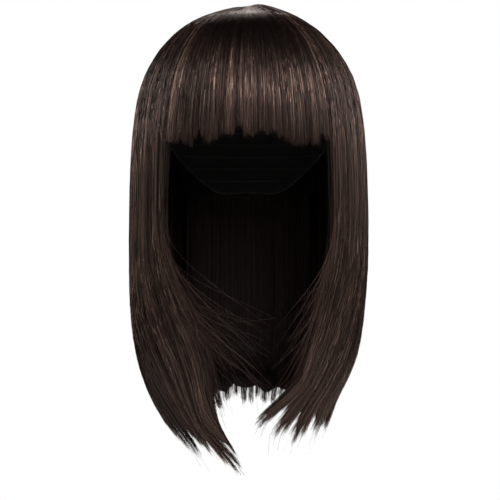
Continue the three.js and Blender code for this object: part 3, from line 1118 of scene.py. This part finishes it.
        # Painted shade and a slanted painted highlight in bands round the dome.
        below = level - paint.band_level
        tone = tone - self.painted_band_shade * bell(below, paint.painted_band_shade_width)
        slanted = below - paint.band_slant * root
        return tone + self.painted_band_highlight * bell(slanted, paint.painted_band_highlight_width)

    def edged(
        self, tone: np.ndarray, root: np.ndarray, level: np.ndarray, rng: np.random.Generator
    ) -> np.ndarray:
        """Paints highlight on strands beside the border of fringe and cheek, and shade on that
        border.

        Args:
            tone: the tones so far.
            root: the azimuth of each strand.
            level: the level of each point.
            rng: the random numbers.

        Returns:
            The tones by strand and point.
        """
        paint = self.toning
        edge = np.abs(np.abs(wrapped(root)) - FACE_EDGE)
        # Painted highlight beside the border, a painted dark line of shade on it, and painted shade
        # low beside the face opening.
        caught = rng.uniform(0, 1, root.shape) < paint.edge_caught
        over_dome = 1 - paint.painted_edge_highlight_lost * smooth(level, *paint.painted_edge_highlight_fades)
        light = bell(edge - paint.painted_edge_highlight_at, paint.painted_edge_highlight_width) * caught * over_dome
        shade = bell(edge, paint.edge_shade_width) * smooth(level, *paint.edge_shade_rises)
        line = bell(edge, paint.edge_line_shade_width)
        return tone + self.painted_edge_highlight * light - paint.edge_line_shade * line - paint.edge_shade * shade

    def lay_inner_strands(self) -> Strands:
        """Lays strands over the inside of the hanging wall, which the face opening shows.

        Returns:
            The strands.
        """
        rng = np.random.default_rng(self.seed + Draw.INNER_STRANDS.value)
        count, low, high = self.inner_strands, *self.span
        one = (count, 1)
        root = rng.uniform(low + self.inner_inset, high - self.inner_inset, one)
        first = self.style.level_at(self.leaves_at + rng.uniform(*self.inner_starts, one) * MM)
        shorter = rng.exponential(self.inner_ragged, one) * MM + self.inner_short
        last = self.style.level_at(self.end_drop(root) - shorter)
        t = np.linspace(0, 1, self.inner_steps + 1)[None, :]
        level = first + (last - first) * t
        waver = Noise(self.seed + Draw.INNER_WAVER.value, self.combing.waver_pitch)
        azimuth = root + self.inner_waver * waver.apart(t, count, rng)
        share = level / self.style.level_at(self.end_drop(root))
        lift = rng.uniform(*self.inner_lift, one) * MM

        def place(a: np.ndarray, b: np.ndarray) -> np.ndarray:
            """The inner surface at an azimuth and level."""
            return self.inner(a, b, np.clip(share, 0, 1))

        normals = -surface_normals(place, azimuth, level)
        points = place(azimuth, level) + normals * lift[..., None]
        taper = 1 - self.combing.taper * smooth(t, self.inner_taper_from, 1)
        tones = self.tones_of(root, level, self.inner_depth + 0 * root, 0 * root, rng)
        # Painted light on the ends of the inner strands, and painted shade over them all.
        ends = 1 + self.inner_painted_end_light * smooth(share, *self.inner_painted_end_light_over)
        tones = self.inner_painted_shade * tones * ends
        return Strands(points, normals, self.width * taper + 0 * level, tones)


@dataclass
class NapeSection:
    """The hair sewn round the back edge of the cap, which closes the inside of the wig."""

    style: Hairstyle
    node: str = "nape_hair"
    start: float = 122
    stop: float = 238
    over_ear: float = 98 * MM
    nape_edge: float = 152 * MM
    sewn_below_ear: float = 0.4
    length: float = 186 * MM
    wall: float = 6 * MM
    tip_wall: float = 1.2 * MM
    thickens_over: float = 0.2
    thins_by: float = 0.6
    thins_from: float = 0.5
    relief: float = 0.9 * MM
    curl: float = 0.14
    curl_from: float = 0.55
    clearance: float = 1.3 * MM
    mass_inset: float = 0.5
    mass_end: float = 0.93
    mass_columns: int = 60
    mass_rows: int = 26
    mass_faces: tuple[float, float] = (0.12, 0.8)
    strands: int = 1600
    steps: int = 8
    seed: int = 71
    root_inset: float = 0.4
    inset: float = 0.2
    inside_share: float = 0.62
    late_share: float = 0.6
    latest_root: float = 0.25
    uneven_end: float = 0.022
    hem_wave: float = 0.03
    hem_wave_pitch: float = 5.0
    short_share: float = 0.3
    shorter: float = 0.05
    waver: float = 0.7
    waver_pitch: float = 0.5
    drift: float = 0.9
    deepest: float = 0.12
    outermost: float = 0.98
    levels: float = 30.0
    width: float = 0.8 * MM
    width_spread: tuple[float, float] = (0.6, 1.2)
    taper: float = 0.8
    taper_from: float = 0.8
    # The nape's strands are much darker than the outside hair: painted shade inside the wig.
    tone: float = 0.08
    contrast: float = 0.06
    streak: float = 0.05
    streak_pitch: float = 1.2

    def place(self, azimuth: np.ndarray, share: np.ndarray, out: np.ndarray) -> np.ndarray:
        """Points between the two faces of the section.

        Args:
            azimuth: degrees from the front.
            share: how far down the section each point lies.
            out: 0 on the inside, 1 on the outside.

        Returns:
            The points.
        """
        root = mix(self.over_ear, self.nape_edge, self.sewn_below_ear)
        below = root + share * self.length
        polar = np.arccos(1 - np.minimum(below, self.nape_edge) / self.style.head_rise)
        thickness = mix(self.tip_wall, self.wall, smooth(share, 0, self.thickens_over))
        thinned = 1 - self.thins_by * smooth(share, self.thins_from, 1)
        grown = self.style.cap_wall + self.clearance + out * (thickness * thinned + self.relief)
        angle = np.radians(azimuth)
        curl = 1 - self.curl * smooth(share, self.curl_from, 1) ** 2
        spread = np.sin(polar) * curl
        x = (self.style.head_breadth / 2 + grown) * spread * np.sin(angle)
        y = -(self.style.head_length / 2 + grown) * spread * np.cos(angle)
        return np.stack([x, y, -below + 0 * x], -1)

    def mass(self) -> bpy.types.Object:
        """Makes the soft mass under the strands.

        Returns:
            The mass.
        """
        first, last = self.start + self.mass_inset, self.stop - self.mass_inset
        azimuth = np.linspace(first, last, self.mass_columns)[None, :]
        share = np.linspace(self.mass_end, 0, self.mass_rows)[:, None] + 0 * azimuth
        inside, outside = (
            self.place(azimuth + 0 * share, share, face + 0 * share) for face in self.mass_faces
        )
        return hollow_wall(f"{self.node}_mass", outside, inside)

    def lay_strands(self) -> Strands:
        """Lays strands on both faces of the section, most of them inside.

        Returns:
            The strands.
        """
        rng = np.random.default_rng(self.seed)
        count, one = self.strands, (self.strands, 1)
        root = rng.uniform(self.start + self.root_inset, self.stop - self.root_inset, one)
        inside = rng.uniform(0, 1, one) < self.inside_share
        t = np.linspace(0, 1, self.steps + 1)[None, :]
        first = rng.uniform(0, self.latest_root, one)
        first *= rng.uniform(0, 1, one) < self.late_share
        last = 1 + rng.normal(0, self.uneven_end, one)
        last += self.hem_wave * Noise(self.seed, self.hem_wave_pitch).at(root)
        shorter = rng.exponential(self.shorter, one)
        last -= shorter * (rng.uniform(0, 1, one) < self.short_share)
        share = first + (last - first) * t
        wander = self.waver * Noise(self.seed + 1, self.waver_pitch).apart(t, count, rng)
        azimuth = root + (wander + rng.normal(0, self.drift, one)) * t
        azimuth = np.clip(azimuth, self.start + self.inset, self.stop - self.inset)
        lift = rng.uniform(0, self.deepest, one)
        out = np.where(inside, lift, self.outermost - lift) + 0 * share

        def wall(a: np.ndarray, b: np.ndarray) -> np.ndarray:
            """The strands' own face at an azimuth and a level of the section."""
            return self.place(a, b / self.levels, out)

        normals = surface_normals(wall, azimuth, share * self.levels)
        normals = np.where(inside[..., None], -normals, normals)
        taper = 1 - self.taper * smooth(t, self.taper_from, 1)
        widths = self.width * taper * rng.uniform(*self.width_spread, one) + 0 * share
        tone = self.tone + rng.normal(0, self.contrast, one)
        tone += self.streak * Noise(self.seed + 2, self.streak_pitch).at(root)
        tones = np.clip(tone, 0, 1) + 0 * share
        return Strands(self.place(azimuth, share, out), normals, widths, tones)


@dataclass
class LooseStrands:
    """Fine single strands that leave the front edges and bow in across the neck opening."""

    style: Hairstyle
    side: Side
    strands: int
    reach: float
    ends: tuple[float, float]
    seed: int
    steps: int = 18
    root_inset: float = 0.6
    root_scale: float = 3.5
    starts: tuple[float, float] = (120.0, 230.0)
    leaves: tuple[float, float] = (0.2, 0.6)
    away_power: float = 1.5
    bowed_until: float = 1.2
    bow_power: float = 1.4
    waver: float = 1.2
    waver_pitch: float = 0.5
    lift: float = 0.4 * MM
    lift_spread: tuple[float, float] = (-2.2, 1.2)
    lift_waver: float = 0.5
    width: float = 0.4 * MM
    width_spread: tuple[float, float] = (0.6, 1.2)
    taper: float = 0.7
    taper_from: float = 0.6
    tone: float = 0.6
    contrast: float = 0.15

    def lay(self) -> Strands:
        """Lays the strands.

        Returns:
            The strands.
        """
        rng = np.random.default_rng(self.seed)
        one = (self.strands, 1)
        inwards = self.side.value
        root = inwards * (FACE_EDGE + self.root_inset + rng.exponential(self.root_scale, one))
        t = np.linspace(0, 1, self.steps + 1)[None, :]
        first = self.style.level_at(rng.uniform(*self.starts, one) * MM)
        last = self.style.level_at(self.style.dome_depth + rng.uniform(*self.ends, one) * MM)
        level = first + (last - first) * t
        leaving = rng.uniform(*self.leaves, one)
        away = self.reach * rng.uniform(0.05, 1, one) ** self.away_power
        wander = Noise(self.seed + 1, self.waver_pitch).apart(t, self.strands, rng) * t
        bowed = smooth(t, leaving, self.bowed_until) ** self.bow_power
        azimuth = root - inwards * away * bowed + self.waver * wander
        strayed = rng.uniform(*self.lift_spread, one) * t + self.lift_waver * wander
        points = self.style.outer(azimuth, level, self.lift + strayed * MM)
        normals = surface_normals(lambda a, b: self.style.outer(a, b, 0 * b), azimuth, level)
        taper = 1 - self.taper * smooth(t, self.taper_from, 1)
        widths = self.width * taper * rng.uniform(*self.width_spread, one) + 0 * level
        tones = np.clip(self.tone + rng.normal(0, self.contrast, one), 0, 1) + 0 * level
        return Strands(points, normals, widths, tones, Ribbon.ROUND)


class Sock:
    """A shader value that Python operators can work on."""

    def __init__(self, tree: "Shader", socket: bpy.types.NodeSocket) -> None:
        """Keeps the socket and the shader that it belongs to."""
        self.tree = tree
        self.socket = socket

    def _math(self, operation: str, *values: "Sock | float") -> "Sock":
        """Adds a Math node on these values and gives its result."""
        return self.tree.node("ShaderNodeMath", {"operation": operation}, dict(enumerate(values)))

    def __add__(self, other: "Sock | float") -> "Sock":
        """Adds a value."""
        return self._math("ADD", self, other)

    def __radd__(self, other: float) -> "Sock":
        """Adds this to a number."""
        return self._math("ADD", other, self)

    def __sub__(self, other: "Sock | float") -> "Sock":
        """Takes a value away."""
        return self._math("SUBTRACT", self, other)

    def __rsub__(self, other: float) -> "Sock":
        """Takes this away from a number."""
        return self._math("SUBTRACT", other, self)

    def __mul__(self, other: "Sock | float") -> "Sock":
        """Multiplies by a value."""
        return self._math("MULTIPLY", self, other)

    def __rmul__(self, other: float) -> "Sock":
        """Multiplies a number by this."""
        return self._math("MULTIPLY", other, self)

    def __truediv__(self, other: "Sock | float") -> "Sock":
        """Divides by a value."""
        return self._math("DIVIDE", self, other)

    def __pow__(self, power: float) -> "Sock":
        """Raises to a power."""
        return self._math("POWER", self, power)

    def sine(self) -> "Sock":
        """The sine of this angle."""
        return self._math("SINE", self)

    def angle_to(self, other: "Sock") -> "Sock":
        """The angle whose tangent is this over the other."""
        return self._math("ARCTAN2", self, other)

    def clamped(self) -> "Sock":
        """This value held between 0 and 1."""
        return self.tree.node("ShaderNodeClamp", {}, {"Value": self})

    def step(self, start: float, stop: float) -> "Sock":
        """A smooth step from 0 at start to 1 at stop."""
        return self.tree.node(
            "ShaderNodeMapRange",
            {"interpolation_type": "SMOOTHSTEP"},
            {"Value": self, "From Min": start, "From Max": stop},
        )


class Shader:
    """One material's node tree, built by calls in Python."""

    def __init__(self, name: str) -> None:
        """Starts an empty material with its output."""
        self.material = bpy.data.materials.new(name)
        self.material.use_nodes = True
        self.nodes = self.material.node_tree.nodes
        self.nodes.clear()
        self.output = self.nodes.new("ShaderNodeOutputMaterial")

    def node(
        self,
        kind: str,
        settings: dict[str, object],
        inputs: dict[str | int, object],
        result: str | int = 0,
    ) -> Sock:
        """Adds one node.

        Args:
            kind: the node's type.
            settings: properties set before anything is linked, a ramp's stops among them.
            inputs: values or links of the node's sockets, by name or number.
            result: the output that is given back.

        Returns:
            That output.
        """
        made = self.nodes.new(kind)
        for key, value in settings.items():
            if key == "stops":
                self.set_stops(made.color_ramp, value)
            else:
                setattr(made, key, value)
        for key, value in inputs.items():
            socket = made.inputs[key]
            if isinstance(value, Sock):
                self.material.node_tree.links.new(value.socket, socket)
            else:
                socket.default_value = value
        return Sock(self, made.outputs[result])

    @staticmethod
    def set_stops(ramp: bpy.types.ColorRamp, stops: "Stops") -> None:
        """Puts a ramp's stops where they belong.

        Args:
            ramp: the ramp.
            stops: the place and the colour of each stop.
        """
        while len(ramp.elements) < len(stops):
            ramp.elements.new(1.0)
        for element, (place, colour) in zip(ramp.elements, stops):
            element.position = place
            element.color = (*colour, 1.0)

    def attribute(self, name: str) -> Sock:
        """A value that the mesh carries at its points."""
        return self.node("ShaderNodeAttribute", {"attribute_name": name}, {}, "Fac")

    def place(self) -> tuple[Sock, Sock, Sock, Sock]:
        """The point on the piece in the object's own metres, whole and as x, y and z."""
        point = self.node("ShaderNodeTexCoord", {}, {}, "Object")
        split = self.nodes.new("ShaderNodeSeparateXYZ")
        self.material.node_tree.links.new(point.socket, split.inputs[0])
        return point, *(Sock(self, split.outputs[i]) for i in range(3))

    def noise(self, vector: Sock, scale: float, detail: float = 2.0) -> Sock:
        """Noise from 0 to 1 at a vector."""
        inputs = {"Vector": vector, "Scale": scale, "Detail": detail}
        return self.node("ShaderNodeTexNoise", {}, inputs, "Fac")

    def vector(self, x: Sock | float, y: Sock | float, z: Sock | float) -> Sock:
        """A vector from three values."""
        return self.node("ShaderNodeCombineXYZ", {}, {0: x, 1: y, 2: z})

    def ramp(self, value: Sock, stops: "Stops") -> Sock:
        """A colour that follows a value through a row of stops."""
        return self.node("ShaderNodeValToRGB", {"stops": stops}, {"Fac": value}, "Color")

    def bump(self, height: Sock, strength: float, distance: float) -> Sock:
        """A normal that a height disturbs."""
        inputs = {"Height": height, "Strength": strength, "Distance": distance}
        return self.node("ShaderNodeBump", {}, inputs, "Normal")

    def finish(self, inputs: dict[str, object]) -> bpy.types.Material:
        """Adds the surface shader and gives the finished material.

        Args:
            inputs: values or links of the surface shader's sockets.

        Returns:
            The material.
        """
        surface = self.node("ShaderNodeBsdfPrincipled", {}, inputs)
        self.material.node_tree.links.new(surface.socket, self.output.inputs[0])
        return self.material


Stops = tuple[tuple[float, tuple[float, float, float]], ...]


@dataclass(frozen=True)
class StrandFinish:
    """Glossy straight fibre, very dark brown, a few strands lighter and redder."""

    name: str = "hair_fibre"
    gloss: float = 0.22
    returned: float = 0.5
    roughness: float = 0.37
    smoother_when_light: float = 0.13
    tint: tuple[float, float, float, float] = (1.0, 0.78, 0.7, 1.0)
    stops: Stops = (
        (0.0, (0.004, 0.003, 0.0026)),
        (0.35, (0.0165, 0.0102, 0.0084)),
        (0.6, (0.042, 0.0245, 0.0195)),
        (0.85, (0.092, 0.055, 0.0435)),
        (1.0, (0.17, 0.105, 0.085)),
    )

    def material(self) -> bpy.types.Material:
        """Makes the material; its metallic part is the tinted light that a fibre returns."""
        shader = Shader(self.name)
        tone = shader.attribute(TONE)
        return shader.finish(
            {
                "Base Color": shader.ramp(tone, self.stops),
                "Roughness": self.roughness - self.smoother_when_light * tone,
                "Metallic": self.returned,
                "IOR": 1.55,
                "Specular IOR Level": self.gloss,
                "Specular Tint": self.tint,
            }
        )


@dataclass(frozen=True)
class MassFinish:
    """The deep hair under the strands, combed in fine streaks that run down, nearly black as
    painted shade between them.
    """

    name: str = "hair_mass"
    streaks: float = 190.0
    streaks_down: float = 9.0
    # Nearly black: painted shade between the strands.
    stops: Stops = (
        (0.3, (0.0025, 0.0017, 0.0014)),
        (0.6, (0.006, 0.0038, 0.003)),
        (0.8, (0.012, 0.0072, 0.0056)),
    )

    def material(self) -> bpy.types.Material:
        """Makes the material."""
        shader = Shader(self.name)
        _, x, y, z = shader.place()
        streaked = shader.vector(x.angle_to(y) * self.streaks, z * self.streaks_down, 0.0)
        combed = shader.noise(streaked, 1.0, 3.0)
        return shader.finish(
            {
                "Base Color": shader.ramp(combed, self.stops),
                "Roughness": 0.5 + 0.15 * combed,
                "Specular IOR Level": 0.15,
                "Normal": shader.bump(combed, 0.6, 0.4 * MM),
            }
        )


@dataclass(frozen=True)
class NetFinish:
    """The black elastic net of the cap, with rows of sewn weft over it."""

    name: str = "cap_net"
    radius: float = 85 * MM
    mesh_pitch: float = 1.5 * MM
    row_pitch: float = 11 * MM
    stitch_pitch: float = 2.4 * MM
    wear_scale: float = 60.0
    stops: Stops = (
        (0.0, (0.003, 0.0028, 0.0027)),
        (0.5, (0.011, 0.0095, 0.009)),
        (1.0, (0.03, 0.025, 0.023)),
    )

    def material(self) -> bpy.types.Material:
        """Makes the material."""
        shader = Shader(self.name)
        point, x, y, z = shader.place()
        turn = x.angle_to(y)
        round_cap = self.radius * 2 * math.pi
        across = (turn * (round_cap / self.mesh_pitch)).sine()
        down = (z * (2 * math.pi / self.mesh_pitch)).sine()
        net = ((across * down) * 0.5 + 0.5).clamped()
        row = (z * (2 * math.pi / self.row_pitch)).sine().step(0.72, 0.95)
        stitch = (turn * (round_cap / self.stitch_pitch)).sine().step(-0.2, 0.6)
        height = net * 0.35 + row * (0.7 + 0.3 * stitch)
        wear = shader.noise(point, self.wear_scale)
        tone = (0.25 + 0.35 * net + 0.4 * row * stitch) * (0.8 + 0.4 * wear)
        return shader.finish(
            {
                "Base Color": shader.ramp(tone.clamped(), self.stops),
                "Roughness": 0.75 + 0.15 * net,
                "Specular IOR Level": 0.3,
                "Normal": shader.bump(height, 0.8, 0.5 * MM),
            }
        )


@dataclass(frozen=True)
class FloorFinish:
    """Plain pale paint, a little of its light its own, which lifts the ends of the hair."""

    name: str = "pale_paint"
    grey: float = 0.86
    glow: float = 0.06

    def material(self) -> bpy.types.Material:
        """Makes the material."""
        shader = Shader(self.name)
        return shader.finish(
            {
                "Base Color": (self.grey, self.grey, self.grey, 1.0),
                "Roughness": 0.9,
                "Specular IOR Level": 0.1,
                "Emission Color": (1.0, 1.0, 1.0, 1.0),
                "Emission Strength": self.glow,
            }
        )


def dress(piece: bpy.types.Object, material: bpy.types.Material) -> None:
    """Gives a piece one material."""
    piece.data.materials.clear()
    piece.data.materials.append(material)


@dataclass
class SewnCap:
    """The cap: the solid's own dome, merged and rounded."""

    node: str = "cap"
    merged_within: float = 0.02 * MM
    joined_within: float = math.radians(40)
    finish: NetFinish = field(default_factory=NetFinish)

    def build(self, source: bpy.types.Object) -> bpy.types.Object:
        """Makes a smooth copy of the cap's solid and dresses it.

        Args:
            source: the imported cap.

        Returns:
            The smooth cap.
        """
        deselect_all()
        piece = source.copy()
        piece.data = source.data.copy()
        piece.parent = None
        for key in list(piece.keys()):
            del piece[key]
        piece.name = "sewn_cap"
        bpy.context.collection.objects.link(piece)
        piece.select_set(True)
        bpy.context.view_layer.objects.active = piece
        bpy.ops.object.mode_set(mode="EDIT")
        bpy.ops.mesh.select_all(action="SELECT")
        bpy.ops.mesh.remove_doubles(threshold=self.merged_within)
        bpy.ops.mesh.tris_convert_to_quads(face_threshold=self.joined_within)
        bpy.ops.object.mode_set(mode="OBJECT")
        bpy.ops.object.shade_smooth()
        rounding = piece.modifiers.new("rounding", "SUBSURF")
        rounding.levels = rounding.render_levels = 1
        bpy.ops.object.modifier_apply(modifier=rounding.name)
        dress(piece, self.finish.material())
        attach(piece, "root")
        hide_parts(self.node)
        return piece


class SoftBox(NamedTuple):
    """One soft light: its place round the hair, its size in metres and its power in watts."""

    name: str
    azimuth: float
    elevation: float
    distance: float
    width: float
    height: float
    power: float


SOFT_BOXES = (
    SoftBox("front_box", 17, 27, 1.8, 1.2, 0.55, 19),
    SoftBox("low_box", 0, 3, 2.0, 2.2, 0.5, 4),
    SoftBox("right_box", -82, 21, 1.8, 1.2, 1.2, 29),
    SoftBox("left_box", 82, 20, 1.8, 1.2, 1.2, 26),
    SoftBox("right_back_box", -128, 14, 1.9, 0.8, 0.8, 3),
    SoftBox("left_back_box", 128, 14, 1.9, 0.8, 0.8, 5),
    SoftBox("back_box", 184, 30, 1.9, 0.7, 0.6, 5),
)


@dataclass
class Studio:
    """The plain white studio: a pale floor, soft lights and the camera."""

    floor_height: float = -0.62
    floor_radius: float = 1.5
    floor_thickness: float = 0.02
    floor_rounding: float = 0.006
    lit_height: float = -0.12
    sensor_width: float = 36.0
    view_height: float = -0.203
    view_distance: float = 2.0
    view_width: float = 0.435
    view_centre: float = 0.0013

    def floor(self) -> bpy.types.Object:
        """Makes the plain pale floor, a round board well below the hair.

        Returns:
            The floor.
        """
        deselect_all()
        bpy.ops.mesh.primitive_cylinder_add(
            vertices=96,
            radius=self.floor_radius,
            depth=self.floor_thickness,
            location=(0, 0, self.floor_height - self.floor_thickness / 2),
        )
        piece = bpy.context.object
        piece.name = "pale_floor"
        bpy.ops.object.transform_apply(location=True, rotation=True, scale=True)
        rounding = piece.modifiers.new("rounding", "BEVEL")
        rounding.width = self.floor_rounding
        rounding.segments = 3
        rounding.limit_method = "ANGLE"
        bpy.ops.object.modifier_apply(modifier=rounding.name)
        bpy.ops.object.shade_smooth_by_angle(angle=SHARP_EDGE)
        dress(piece, FloorFinish().material())
        return piece

    def softbox(self, box: SoftBox) -> None:
        """Adds one soft light that looks at the middle of the hair.

        Args:
            box: the light's row, its azimuth from the front and positive towards +X.
        """
        data = bpy.data.lights.new(box.name, "AREA")
        data.shape = "RECTANGLE"
        data.size, data.size_y = box.width, box.height
        data.energy = box.power
        lamp = bpy.data.objects.new(box.name, data)
        bpy.context.collection.objects.link(lamp)
        turn, rise = math.radians(box.azimuth), math.radians(box.elevation)
        level = math.cos(rise)
        away = Vector((math.sin(turn) * level, -math.cos(turn) * level, math.sin(rise)))
        lamp.location = Vector((0, 0, self.lit_height)) + away * box.distance
        lamp.rotation_euler = (-away).to_track_quat("-Z", "Y").to_euler()

    def lights(self) -> None:
        """Adds the soft lights, and a white room that only the camera sees."""
        for box in SOFT_BOXES:
            self.softbox(box)
        world = bpy.data.worlds.new("room")
        bpy.context.scene.world = world
        world.use_nodes = True
        world.node_tree.nodes["Background"].inputs["Color"].default_value = (1, 1, 1, 1)
        world.cycles_visibility.diffuse = False
        world.cycles_visibility.glossy = False

    def camera(self) -> None:
        """Adds the camera, level with the middle of the picture."""
        data = bpy.data.cameras.new("front_camera")
        data.sensor_width = self.sensor_width
        data.lens = self.sensor_width * self.view_distance / self.view_width
        data.clip_end = 30
        holder = bpy.data.objects.new("front_camera", data)
        bpy.context.collection.objects.link(holder)
        holder.location = (self.view_centre, -self.view_distance, self.view_height)
        holder.rotation_euler = (math.radians(90), 0, 0)
        bpy.context.scene.camera = holder

    def build(self) -> None:
        """Builds the whole studio."""
        self.camera()
        self.floor()
        self.lights()
        bpy.context.scene.view_settings.view_transform = "Standard"


@dataclass
class Wig:
    """The whole wig: its sections of hair, its cap and the finishes that they share."""

    style: Hairstyle = field(default_factory=Hairstyle)

    def sections(self) -> list[HairSection]:
        """Lists the sections of hair.

        Returns:
            The sections from the fringe round to the back.
        """
        return [
            HairSection(
                style=self.style,
                node="fringe",
                locks=FRINGE_LOCKS,
                strands=2800,
                steps=12,
                seed=11,
                length=115 * MM,
                mass_rows=22,
                corner_droop=7.5 * MM,
                wall=3.2 * MM,
                leaves_at=60 * MM,
                leaves_over=47 * MM,
                width=0.62 * MM,
                clump=0.34,
                tuft_width=1.7,
                pointed=4 * MM,
                raggedness=2 * MM,
                layered=10 * MM,
                mass_short=5 * MM,
                wisps=0.0,
                contrast=0.25,
                drift=0.5,
                # Painted light and shade: a highlight band, shade on the crown, light on the ends.
                painted_band_highlight=0.09,
                painted_crown_shade=0.95,
                painted_crown_light=0.0,
                painted_end_light=0.1,
            ),
            HairSection(
                style=self.style,
                node="side_hair_right",
                locks=RIGHT_CHEEK_LOCKS,
                strands=2300,
                steps=17,
                seed=23,
                # Painted shade on one low lock and in a band round the dome; painted light on the
                # inner ends.
                shaded_lock=-87,
                painted_crown_light=0.0,
                painted_band_shade=0.25,
                inner_strands=300,
                inner_painted_end_light=1.8,
            ),
            HairSection(
                style=self.style,
                node="side_hair_left",
                locks=LEFT_CHEEK_LOCKS,
                strands=2300,
                steps=17,
                seed=37,
                # Painted shade in a band round the dome.
                painted_band_shade=0.05,
                short=2 * MM,
                raggedness=3 * MM,
                inner_strands=300,
                # Painted light on the ends of the inner strands.
                inner_painted_end_light=1.8,
            ),
            HairSection(
                style=self.style,
                node="back_hair",
                locks=BACK_LOCKS,
                strands=2300,
                steps=16,
                seed=53,
                fine_strands=0,
                clump=0.5,
                tuft_width=6.0,
                pointed=7 * MM,
                raggedness=3 * MM,
                filled=0.7,
                mass_short=12 * MM,
                mass_pointed=False,
                inner_strands=620,
            ),
        ]

    def loose(self) -> list[LooseStrands]:
        """Lists the bundles of fine single strands.

        Returns:
            One bundle for each side of the face opening.
        """
        return [
            LooseStrands(self.style, Side.RIGHT, 110, 56.0, (170, 250), 91),
            LooseStrands(self.style, Side.LEFT, 120, 21.0, (150, 236), 97),
        ]

    def build(self, nodes: dict[str, bpy.types.Object]) -> None:
        """Builds and dresses every piece.

        Args:
            nodes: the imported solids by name.
        """
        fibre = StrandFinish().material()
        # A duller copy of the fibre for the inner strands and the nape: painted shade that keeps
        # the inside of the wig dark.
        matt = StrandFinish("inner_hair_fibre", gloss=0.08, returned=0.1, roughness=0.6)
        shaded = matt.material()
        # The mass's nearly black finish is painted shade between the strands.
        deep = MassFinish().material()
        for section in [*self.sections(), NapeSection(self.style)]:
            mass = section.mass()
            dress(mass, deep)
            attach(mass, "root")
            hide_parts(section.node)
            LOG.info("%s: %d faces", mass.name, len(mass.data.polygons))
            if isinstance(section, NapeSection):
                name = f"{section.node}_strands"
                self.add_strands(name, section.lay_strands(), shaded, section.seed)
                continue
            for layer in Layer:
                if layer is Layer.FINE and not section.fine_strands:
                    continue
                name = f"{section.node}_{layer.name.lower()}_strands"
                self.add_strands(name, section.lay_strands(layer), fibre, section.seed)
            if section.inner_strands:
                name = f"{section.node}_inner_strands"
                self.add_strands(name, section.lay_inner_strands(), shaded, section.seed)
        for bundle in self.loose():
            name = f"loose_strands_{bundle.side.name.lower()}"
            self.add_strands(name, bundle.lay(), fibre, bundle.seed)
        cap = SewnCap().build(nodes["cap"])
        LOG.info("%s: %d faces", cap.name, len(cap.data.polygons))

    @staticmethod
    def add_strands(name: str, strands: Strands, fibre: bpy.types.Material, seed: int) -> None:
        """Makes one piece of strands and sets it on the wig.

        Args:
            name: the piece's name.
            strands: its strands.
            fibre: its material.
            seed: the seed of the strands' small rolls.
        """
        piece = bpy.data.objects.new(name, strands.mesh(name, seed))
        bpy.context.collection.objects.link(piece)
        dress(piece, fibre)
        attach(piece, "root")
        LOG.info("%s: %d faces", name, len(piece.data.polygons))


def main() -> None:
    """Builds the scene."""
    logging.basicConfig(level=logging.INFO, format="%(name)s %(message)s")
    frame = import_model()
    Studio().build()
    Wig().build(frame["nodes"])


if __name__ == "__main__":
    main()
